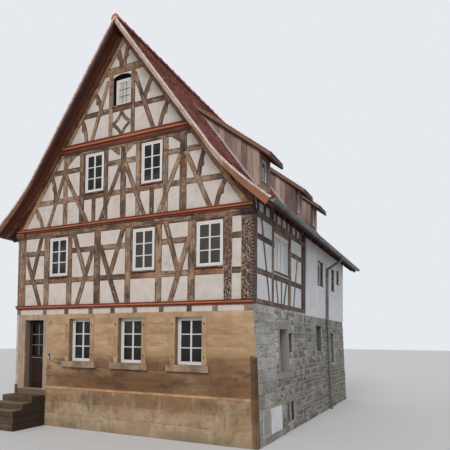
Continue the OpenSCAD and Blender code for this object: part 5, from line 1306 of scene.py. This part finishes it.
for v in work.verts:
    if v.co.z > -0.62 and v.normal.z > 0.3:  # feet have worn a hollow into the upper treads
        v.co.z -= stepSizes["hollow"] * math.exp(-((v.co.x - stepSizes["hollowAt"]) / 0.3) ** 2)
    v.co += noise.noise_vector(v.co * 6) * stepSizes["rough"]
    v.co.z = max(v.co.z, house["ground"])
    v.co += origin
stepMesh = bpy.data.meshes.new("stoneSteps")
work.normal_update()
work.to_mesh(stepMesh)
work.free()
stepMesh.materials.append(stepStone["material"])
stepMesh.shade_smooth()
stepMesh.set_sharp_from_angle(angle=math.radians(40))
settle(addObject("stoneSteps", stepMesh), ["steps"])

print("front door")
door = {"left": -3.654, "right": -2.889, "bottom": -0.094, "top": 2.004, "frame": 0.11, "mid": 0.806,
        "foot": 0.18, "d": 0.19}
leaf, bars = newStore(), newStore()


def doorBlock(store, a, b, c, e, front, back, bevel):
    block(store, "front", a, b, door["d"] + front, door["d"] + back, c, e, bevel)


x0, x1, z0, z1, f = (door[k] for k in ("left", "right", "bottom", "top", "frame"))
for a in (x0, x1 - f):
    doorBlock(leaf, a, a + f, z0, z1, 0, 0.05, 0.004)
for c, e in ((z0, z0 + door["foot"]), (door["mid"], door["mid"] + f), (z1 - f, z1)):
    doorBlock(leaf, x0 + f - 0.001, x1 - f + 0.001, c, e, 0.001, 0.049, 0.004)
a, b, c, e = x0 + f, x1 - f, z0 + door["foot"], door["mid"]
doorBlock(leaf, a, b, c, e, 0.017, 0.033, 0.002)
doorBlock(leaf, a + 0.05, b - 0.05, c + 0.05, e - 0.05, 0.006, 0.044, 0.024)
for p, q, r, s in ((a, b, c, c + 0.02), (a, b, e - 0.02, e), (a, a + 0.02, c, e), (b - 0.02, b, c, e)):
    doorBlock(leaf, p, q, r, s, 0.004, 0.03, 0.008)
c, e, mid = door["mid"] + f, z1 - f, (a + b) / 2
for z in (c + (e - c) / 3, c + (e - c) * 2 / 3):
    doorBlock(bars, a - 0.001, b + 0.001, z - 0.014, z + 0.014, 0.010, 0.040, 0.006)
doorBlock(bars, mid - 0.014, mid + 0.014, c - 0.001, e + 0.001, 0.011, 0.039, 0.006)
doorBlock(bars, a - 0.02, b + 0.02, door["mid"] + 0.02, door["mid"] + 0.05, -0.012, 0.01, 0.006)
makePiece("doorLeaf", leaf, [doorWood], ["front_door"], body="front_door")
makePiece("doorBars", bars, [doorBars], body="front_door")

print("roof")
roof = {"ridge": 10.43976, "flare": (2.93887, 6.39476), "bend": (3.462, 5.67473), "eave": (4.62, 4.77),
        "tileWide": 0.176, "gauge": 0.158, "dormers": (2.5308, 6.1938, 8.436), "dormerHalf": 0.46,
        "dormerFront": 3.37, "dormerMeet": 1.1204, "dormerLevel": 9.7605,
        "dormerFall": math.tan(math.radians(37.6)),
        "dormerEdge": 3.75, "dormerSide": 0.105, "dormerThick": 0.13884, "ridgeCount": 32, "ridgeLength": 0.37}


# Points (x, z) down one slope, from the ridge through the flare to the eave, t below the tiles' bed
def slopePath(t=0.0, steps=14):
    flare, bend, eave = (Vector(roof[k]) for k in ("flare", "bend", "eave"))
    points = [Vector((0, roof["ridge"] - t / math.cos(roofAngle)))]
    for s in (i / steps for i in range(steps + 1)):
        p = flare * (1 - s) ** 2 + bend * 2 * s * (1 - s) + eave * s * s
        h = (bend - flare) * 2 * (1 - s) + (eave - bend) * 2 * s
        points.append(p + Vector((h.y, -h.x)).normalized() * t)
    return points


slope = slopePath()
lengths = [(b - a).length for a, b in zip(slope, slope[1:])]
slopeLength = sum(lengths)


# The point and the heading at a run down the slope
def onSlope(s):
    for a, b, l in zip(slope, slope[1:], lengths):
        if s <= l or b is slope[-1]:
            return a + (b - a).normalized() * s, (b - a).normalized()
        s -= l


def tileShape():
    w, tall = 0.0865, 0.31
    nose = [(-w, 0.055), (-0.76 * w, 0.018), (-0.4 * w, 0.004), (0, 0),
            (0.4 * w, 0.004), (0.76 * w, 0.018), (w, 0.055)]
    outline = [(-w, tall)] + nose + [(w, tall)]
    return [(x, y, top - 0.1 * y) for top in (0.036, 0.022) for x, y in outline], plateFaces(len(outline))


# One course of tiles from y0 to y1; every second course is shifted by half a tile and ends in halves
def tileRow(point, heading, side, y0, y1, odd, covered):
    spots, count = [], round((y1 - y0) / roof["tileWide"])
    wide = (y1 - y0) / count
    upslope, normal = Vector((-heading.x * side, 0, -heading.y)), Vector((-heading.y * side, 0, heading.x))
    turn = turnTo(upslope.cross(normal), upslope, normal)
    for i in range(count + 1 if odd else count):
        y, share = y0 + (i if odd else i + 0.5) * wide, 1.0
        if odd and i in (0, count):
            y, share = y + (wide if i == 0 else -wide) / 4, 0.5
        if not covered(point.x, y):
            tone = min(1, max(0, random.gauss(0.5, 0.2)))
            spots.append(((side * point.x, y, point.y), turn, (share * wide / roof["tileWide"], 1, 1), tone))
    return spots


def underDormer(x, y):
    within = roof["dormerMeet"] + 0.12 < x < roof["dormerFront"] - 0.02
    return within and any(abs(y - d) < roof["dormerHalf"] - 0.03 for d in roof["dormers"])


def nowhere(x, y):
    return False


for side, name, covered in ((1, "rightTiles", underDormer), (-1, "leftTiles", nowhere)):
    spots, row, s = [], 0, slopeLength + 0.025
    while s > 0.20:
        spots += tileRow(*onSlope(s), side, -verge - 0.012, depth + verge + 0.012, row % 2, covered)
        s -= roof["gauge"]
        row += 1
    placeCopies(name, spots, tileShape(), roofClay, "clay_tiles", Tilt=0.012, smooth=0, Seed=row)

spots, fall = [], roof["dormerFall"]
heading = Vector((1, -fall)).normalized()
top = Vector((roof["dormerMeet"], roof["dormerLevel"] - roof["dormerMeet"] * fall))
rowHalf = roof["dormerHalf"] + roof["dormerSide"] + 0.01
for y in roof["dormers"]:
    s, row = (roof["dormerEdge"] - roof["dormerMeet"]) / heading.x + 0.03, 0
    while s > 0.02:
        spots += tileRow(top + heading * s, heading, 1, y - rowHalf, y + rowHalf, row % 2, nowhere)
        s -= roof["gauge"]
        row += 1
placeCopies("dormerTiles", spots, tileShape(), roofClay, "clay_tiles", Tilt=0.012, smooth=0, Seed=5)


# A half-round ridge tile with a thicker collar at its front end, open below
def ridgeShape(n=9):
    verts, faces = [], []
    arch = [math.radians(-105 + 210 * i / (n - 1)) for i in range(n)]
    for y, r in ((-0.205, 0.122), (-0.17, 0.122), (-0.165, 0.110), (0.205, 0.104)):
        verts += [(q * math.sin(a), y, q * math.cos(a)) for q in (r, r - 0.016) for a in arch]
    for ring in range(3):
        for base in (2 * ring * n, (2 * ring + 1) * n):
            faces += [[base + i, base + i + 1, base + 2 * n + i + 1, base + 2 * n + i] for i in range(n - 1)]
        for a in (2 * ring * n, 2 * ring * n + n - 1):
            faces.append([a, a + n, a + 3 * n, a + 2 * n])
    for base in (0, 6 * n):
        faces += [[base + i, base + i + 1, base + n + i + 1, base + n + i] for i in range(n - 1)]
    return verts, faces


pitch, bed = (depth + 2 * verge) / roof["ridgeCount"], roof["ridge"] - 0.012
ridgeSize = (1, pitch / roof["ridgeLength"], 1)
ridgeSpots = [((0, pitch * (i + 0.5) - verge, bed), (0, 0, 0), ridgeSize, random.random())
              for i in range(roof["ridgeCount"])]
placeCopies("ridgeTiles", ridgeSpots[1:], ridgeShape(), roofClay, "ridge_clay", ["ridge_tiles"],
            Tilt=0.012, smooth=40)
placeCopies("endRidgeTile", ridgeSpots[:1], ridgeShape(), ridgeClay, "ridge_clay", smooth=40)
plug = newStore()
arch = [math.radians(-100 + 200 * i / 12) for i in range(13)]
rings = [[(0.108 * k * math.sin(a), y - verge, bed + 0.108 * k * math.cos(a)) for a in arch]
         for y, k in ((-0.022, 0.82), (-0.012, 1.0), (0.06, 1.0))]
loft(plug, rings, [0.03 * i for i in range(13)], [0, 0.02, 0.08])
makePiece("ridgePlug", plug, [ridgeClay])

print("verges, soffits and gutters")


# A board along the slope between two depths below the tiles; the lower one grows by taper towards the eave
def slopeBoard(store, side, y0, y1, top, foot, tone, finish=0, pitch=0.3, start=0.0, end=1e9, taper=0.0):
    upper = stepped(slopePath(), pitch)
    run, rings, along, tones, width, height = 0.0, [], [], [], y1 - y0, abs(foot - top)
    for i, p in enumerate(upper):
        step = (upper[min(i + 1, len(upper) - 1)] - upper[max(i - 1, 0)]).normalized()
        run += (p - upper[i - 1]).length if i else 0
        if start <= run <= end:
            n, low = Vector((step.y, -step.x)), foot + taper * max(0, (run - 5.0) / (slopeLength - 5.0))
            ring = [(y, p + n * t) for y, t in ((y0, top), (y1, top), (y1, low), (y0, low))]
            rings.append([(side * q.x if i else 0.0, y, q.y) for y, q in ring])
            along.append(run)
            tones += [tone(run) if callable(tone) else tone] * 4
    loft(store, rings, [0, width, width + height, 2 * width + height], along, tones, finish)


# Tones of the right front verge board, down its run: pale above, rubbed brown in two places
def weathering(run):
    z = roof["ridge"] - run * math.sin(roofAngle)
    if z > 7.0:
        return 0.93
    return 0.36 if z > 6.5 else 0.8 if z > 5.75 else 0.34


def darkBoard(run):
    return 0.03 if run < 5.4 else 0.12


verges, mortarStore, soffits = newStore(), newStore(), newStore()
for wallY, out in ((0.0, -1), (depth, 1)):
    for side in (-1, 1):
        inner, face = wallY + out * verge, wallY + out * (verge + 0.03)
        tone = weathering if side > 0 and out < 0 else darkBoard
        slopeBoard(verges, side, *sorted((face, inner)), 0.012, 0.085, tone, taper=0.105, pitch=0.15)
        middle, rings = (face + out * 0.008 + inner) / 2, []
        for i, p in enumerate(stepped(slopePath(-0.004), 0.07)):
            radii = [0.032 * (1 + 0.35 * noise.noise((i * 0.9, k * 0.8, side * 5 + out))) for k in range(8)]
            ring = [(r * math.cos(a), r * math.sin(a)) for r, a in zip(radii, eighths)]
            rings.append([(side * (p.x + c * 0.8), middle + s * 1.1, p.y + c * 0.6) for c, s in ring])
        loft(mortarStore, rings, [0.02 * k for k in range(8)], [0.07 * i for i in range(len(rings))], 0.5)
        for a, b in ((0.0, 0.142), (0.142, 0.286), (0.286, 0.43)):
            near, far = sorted((wallY + out * (a + 0.002), wallY + out * (b - 0.002)))
            slopeBoard(soffits, side, near, far, 0.1005, 0.118, random.random(), start=0.12)
        near, far = sorted((wallY + out * 0.002, wallY + out * (0.13 if side < 0 else 0.05)))
        slopeBoard(soffits, side, near, far, 0.118, 0.145, 0.5, 1, start=0.2)
for wall in ("front", "rear"):  # boards between the gable rafter's foot and the flared eave, kept dark as painted shade under the eave
    for side in (-1, 1):
        edge = halfWidth - 0.006
        curve = [tuple(p) for p in stepped(slopePath(0.135), 0.08) if 3.4 < p.x < edge and p.y > 4.9]
        straight = [((roof["ridge"] - 0.2977 - z) / roofFall + 0.06, z) for z in (4.885, 5.1, 5.3)]
        outline = [(side * x, z) for x, z in curve + [(edge, 4.885)] + straight]
        plate(soffits, wall, outline, -0.001, 0.1, 0.0, 1)
makePiece("vergeBoards", verges, [vergeWood], ["verge_boards"])
makePiece("vergeMortarStrips", mortarStore, [vergeMortar])
makePiece("vergeSoffits", soffits, [soffitWood, redOak])

eaveSoffit = newStore()
for side in (-1, 1):
    for a in (0.0, 0.14, 0.28, 0.42):
        slopeBoard(eaveSoffit, side, 0.005, depth - 0.005, 0.1005, 0.112, random.random(), pitch=0.05,
                   start=slopeLength - 0.71 + a, end=slopeLength - 0.52 + a)
makePiece("eaveSoffitBoards", eaveSoffit, [soffitWood])

fittings = newStore()
gutter = {"r": 0.075, "drop": 0.025, "clips": 15, "gap": 0.84}
gutter["x"] = roof["eave"][0] - gutter["drop"] * math.tan(math.radians(38)) + gutter["r"]
gutter["z"] = roof["eave"][1] - gutter["drop"]


# A point of the gutter's lower half, share 0 at the wall's side and 1 at the rim
def gutterPoint(side, more, share):
    a, r = math.pi * (1 + share), gutter["r"] + more
    return side * (gutter["x"] + r * math.cos(a)), gutter["z"] + r * math.sin(a)


for side in (-1, 1):
    for y in (gutter["gap"] * i - 0.3 for i in range(gutter["clips"])):
        section = ((0.006, y - 0.014), (0.006, y + 0.014), (-0.0005, y + 0.014), (-0.0005, y - 0.014))
        rings = []
        for k in range(11):
            points = [(*gutterPoint(side, more, k / 10), w) for more, w in section]
            rings.append([(x, w, z) for x, z, w in points])
        loft(fittings, rings, [0, 0.03, 0.035, 0.06], [0.024 * k for k in range(11)])
    for y in (-verge - 0.004, depth + verge - 0.002):  # the closed ends
        cap = [(side * gutter["x"], gutter["z"])] + [gutterPoint(side, 0.002, k / 12) for k in range(13)]
        addSolid(fittings, [(x, w, z) for w in (y, y + 0.006) for x, z in cap], plateFaces(len(cap)))
    x, z = side * (gutter["x"] + gutter["r"]), gutter["z"] - 0.004
    rings = [[(x + 0.009 * math.cos(a), y, z + 0.009 * math.sin(a)) for a in eighths]
             for y in (-verge, depth / 2, depth + verge)]
    loft(fittings, rings, [0.007 * k for k in range(8)], [0, 6, 12])
makePiece("gutterFittings", fittings, [zinc])

print("dormers")
cheeks, dormerTrim, flashing, frames, panes = (newStore() for i in range(5))
front, meet, half, fore = roof["dormerFront"], roof["dormerMeet"], roof["dormerHalf"], roof["dormerEdge"]
window = {"half": 0.235, "foot": 6.1964, "tall": 0.7, "head": 7.0364, "board": 0.018}


def mainRoof(x):
    return roof["ridge"] - x * roofFall


def dormerRoof(x):
    return roof["dormerLevel"] - x * fall


for y in roof["dormers"]:
    for k in (-1, 1):
        x = front
        while x > meet + 0.3:  # upright boards of the cheek
            a, b, thick = max(x - 0.185, meet + 0.24), x, roof["dormerThick"]
            outline = [(a + 0.002, mainRoof(a) - 0.02), (b - 0.002, mainRoof(b) - 0.02),
                       (b - 0.002, dormerRoof(b) - thick), (a + 0.002, dormerRoof(a) - thick)]
            shift = random.uniform(0, 30)
            verts = [(px, y + k * out, z) for out in (half - 0.004, half + window["board"])
                     for px, z in outline]
            uv = [(z + shift, px + shift) for px, z in outline] * 2
            addSolid(cheeks, verts, plateFaces(4), uv, random.random())
            x -= 0.187
        # flashing on the tiles beside the cheek
        low, high = front + 0.02, meet + 0.26
        section = ((0.0, 0.02), (0.0, 0.085), (0.005, 0.085), (0.010, 0.046), (0.05, 0.043), (0.05, 0.02))
        ahead, up = math.sin(roofAngle) * 0.6, math.cos(roofAngle) + 0.4
        rings = [[(px + n * ahead, y + k * (half + 0.014 + out), mainRoof(px) + n * up) for out, n in section]
                 for px in (high, (high + low) / 2, low)]
        loft(flashing, rings, [0, 0.1, 0.11, 0.17, 0.24, 0.27], [0, 1.6, 3.2])
        # verge board of the dormer roof
        edge = y + k * (half + roof["dormerSide"])
        section = ((0.024, 0.012), (-0.002, 0.012), (-0.002, -0.105), (0.024, -0.100))
        rings = [[(px, edge + k * out, dormerRoof(px) + rise) for out, rise in section]
                 for px in (meet + 0.06, 2.4, fore + 0.004)]
        loft(dormerTrim, rings, [0, 0.025, 0.19, 0.215], [0, 1.6, 3.3], 0.4)
    z, reachY = dormerRoof(fore), half + roof["dormerSide"] + 0.02
    section = ((-0.002, 0.005), (0.022, -0.012), (0.022, -0.110), (-0.002, -0.115))
    rings = [[(fore + out, side, z + rise) for out, rise in section] for side in (y - reachY, y, y + reachY)]
    loft(dormerTrim, rings, [0, 0.03, 0.15, 0.18], [0, 0.58, 1.16], 0.1)
    foot, sill, face, w = mainRoof(front) - 0.06, window["foot"], halfWidth - front, window["half"]
    for a, b, out, z0, z1, bevel in ((-half - 0.018, -w, 0.022, foot, window["head"], 0.004),
                                     (w, half + 0.018, 0.022, foot, window["head"], 0.004),
                                     (-w, w, 0.018, sill + window["tall"], window["head"], 0.004),
                                     (-w - 0.025, w + 0.025, 0.05, sill - 0.035, sill, 0.006),
                                     (-w, w, 0.014, foot, sill - 0.03, 0.004)):
        block(cheeks, "right", y + a, y + b, face - out, face + 0.004, z0, z1, bevel)
    addWindow(frames, panes, "right", y, sill, 0.46, window["tall"], face + 0.015, columns=1)
makePiece("dormerBoards", cheeks, [greyBoards])
makePiece("dormerVergeBoards", dormerTrim, [dormerEdgeWood])
makePiece("dormerFlashing", flashing, [lead])
makePiece("dormerWindowFrames", frames, [whitePaint], ["dormer_windows"])
makePiece("dormerWindowGlass", panes, [duskySkyReflectionGlass])

print("ironwork and small fittings")
iron = newStore()
for u in groundWindows:  # pintles of the shutters
    for x in (u - 0.47, u + 0.47):
        for z in (0.98, 1.84):
            block(iron, "front", x - 0.008, x + 0.008, -0.045, 0.02, z - 0.008, z + 0.008, 0.003, 0.5, 1)
            block(iron, "front", x - 0.007, x + 0.007, -0.048, -0.034, z - 0.008, z + 0.045, 0.003, 0.5, 1)
for *box, finish in ((-2.645, -2.555, -0.022, 0.0, 0.80, 1.03, 0.008, 2),  # bell plate, lamp and button
                     (-2.625, -2.57, -0.045, -0.02, 0.915, 0.995, 0.014, 0),
                     (-2.590, -2.555, -0.034, -0.02, 0.81, 0.90, 0.010, 0),
                     (-3.70, -2.86, -0.006, 0.19, -0.118, -0.099, 0.004, 4),  # threshold strip
                     (-2.60, -2.58, -0.04, 0.0, 1.90, 1.98, 0.006, 3)):
    block(iron, "front", *box, 0.5, finish)
section = ((-0.012, -0.008), (0.012, -0.008), (0.012, 0.008), (-0.012, 0.008))
for side in (-1, 1):
    for y in (0.05 + 0.66 * i for i in range(18)):
        for share in (0.34, 1.05):  # hooks that hold the snow off the gutter
            point, heading = onSlope(slopeLength - share)
            ends = [point + Vector((-heading.y, heading.x)) * out for out in (0.035, 0.097)]
            rings = [[(side * (q.x + heading.x * w), y + t, q.y + heading.y * w) for w, t in section]
                     for q in ends]
            loft(iron, rings, [0, 0.02, 0.04, 0.06], [0, 0.06])
makePiece("forgedFittings", iron, [forgedIron, rustyIron, lead, steel, sillStone])


# A slab on the leaning right wall, from out0 to out1 before its face
def onLean(store, y0, y1, z0, z1, out0, out1, tone=0.5, finish=0, bevel=0.006):
    flat = [(o, y, z) for o, c in ((out1, bevel), (out1 - bevel, 0), (out0, 0))
            for y, z in ((y0 + c, z0 + c), (y1 - c, z0 + c), (y1 - c, z1 - c), (y0 + c, z1 - c))]
    verts, uv = [(cornerAt(z) + o, y, z) for o, y, z in flat], [(y, z) for o, y, z in flat]
    addSolid(store, verts, cutBoxFaces, uv, tone, finish)


hatch, cellarFrame = newStore(), newStore()
onLean(hatch, 0.98, 1.84, -0.99, -0.34, -0.01, 0.022, 0.9)
onLean(hatch, 0.37, 0.93, -0.97, -0.32, -0.01, 0.010, 0.5, 1)
for box in ((0.34, 0.40, -1.0, -0.30), (0.90, 0.965, -1.0, -0.30),
            (0.40, 0.90, -1.0, -0.945), (0.40, 0.90, -0.355, -0.30)):
    onLean(hatch, *box, -0.01, 0.020, 0.3, 2)
makePiece("cellarHatches", hatch, [sidePlasterWithShadeTint, lead, mortar])
for box in ((2.304, 2.436, -0.927, -0.338), (3.104, 3.256, -0.927, -0.338),
            (2.284, 3.276, -0.332, -0.133), (2.364, 3.196, -0.987, -0.933)):
    onLean(cellarFrame, *box, -0.02, 0.016, random.random(), 0, 0.010)
onLean(cellarFrame, 2.62, 2.75, -0.93, -0.335, -0.12, 0.008, 0.5, 0, 0.010)
for y0, y1 in ((2.442, 2.618), (2.752, 3.098)):  # shutters of tarred boards close behind the face
    onLean(cellarFrame, y0, y1, -0.925, -0.34, -0.06, -0.022, 0.0, 1)
makePiece("cellarWindowFrame", cellarFrame, [rubble, forgedIron])

print("finishes of the solids that stay")
for finish, nodes in ((plinthStone, ["front_plinth"]), (sandstone, ["front_wall", "front_wall_over_door"]),
                      (surroundStone, ["door_surround", "window_surrounds"]), (sillStone, ["window_sills"]),
                      (mortar, ["right_wall", "left_wall", "rear_wall"]), (floorStone, ["ground_floor"]),
                      (floorboards, ["upper_floor", "attic_floor", "collar_floor"]),
                      (plaster, ["joist_panels", "front_panels", "gable_panels", "rear_panels"]),
                      (sidePlasterWithShadeTint, ["side_panels", "plaster_walls"]),
                      (innerPlaster, ["gable_linings", "side_linings"]),
                      (soffitWood, ["roof_right", "roof_left", "rafter_feet", "dormer_roofs"]),
                      (zinc, ["gutters", "downpipes"]), (greyBoards, ["dormer_walls"]),
                      (doorGlass, ["door_glass"]), (steel, ["door_fittings"]), (forgedIron, ["door_hinges"])):
    for node in nodes:
        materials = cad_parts[node].data.materials
        materials.clear()
        materials.append(finish["material"])

low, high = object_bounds()
print("ready")
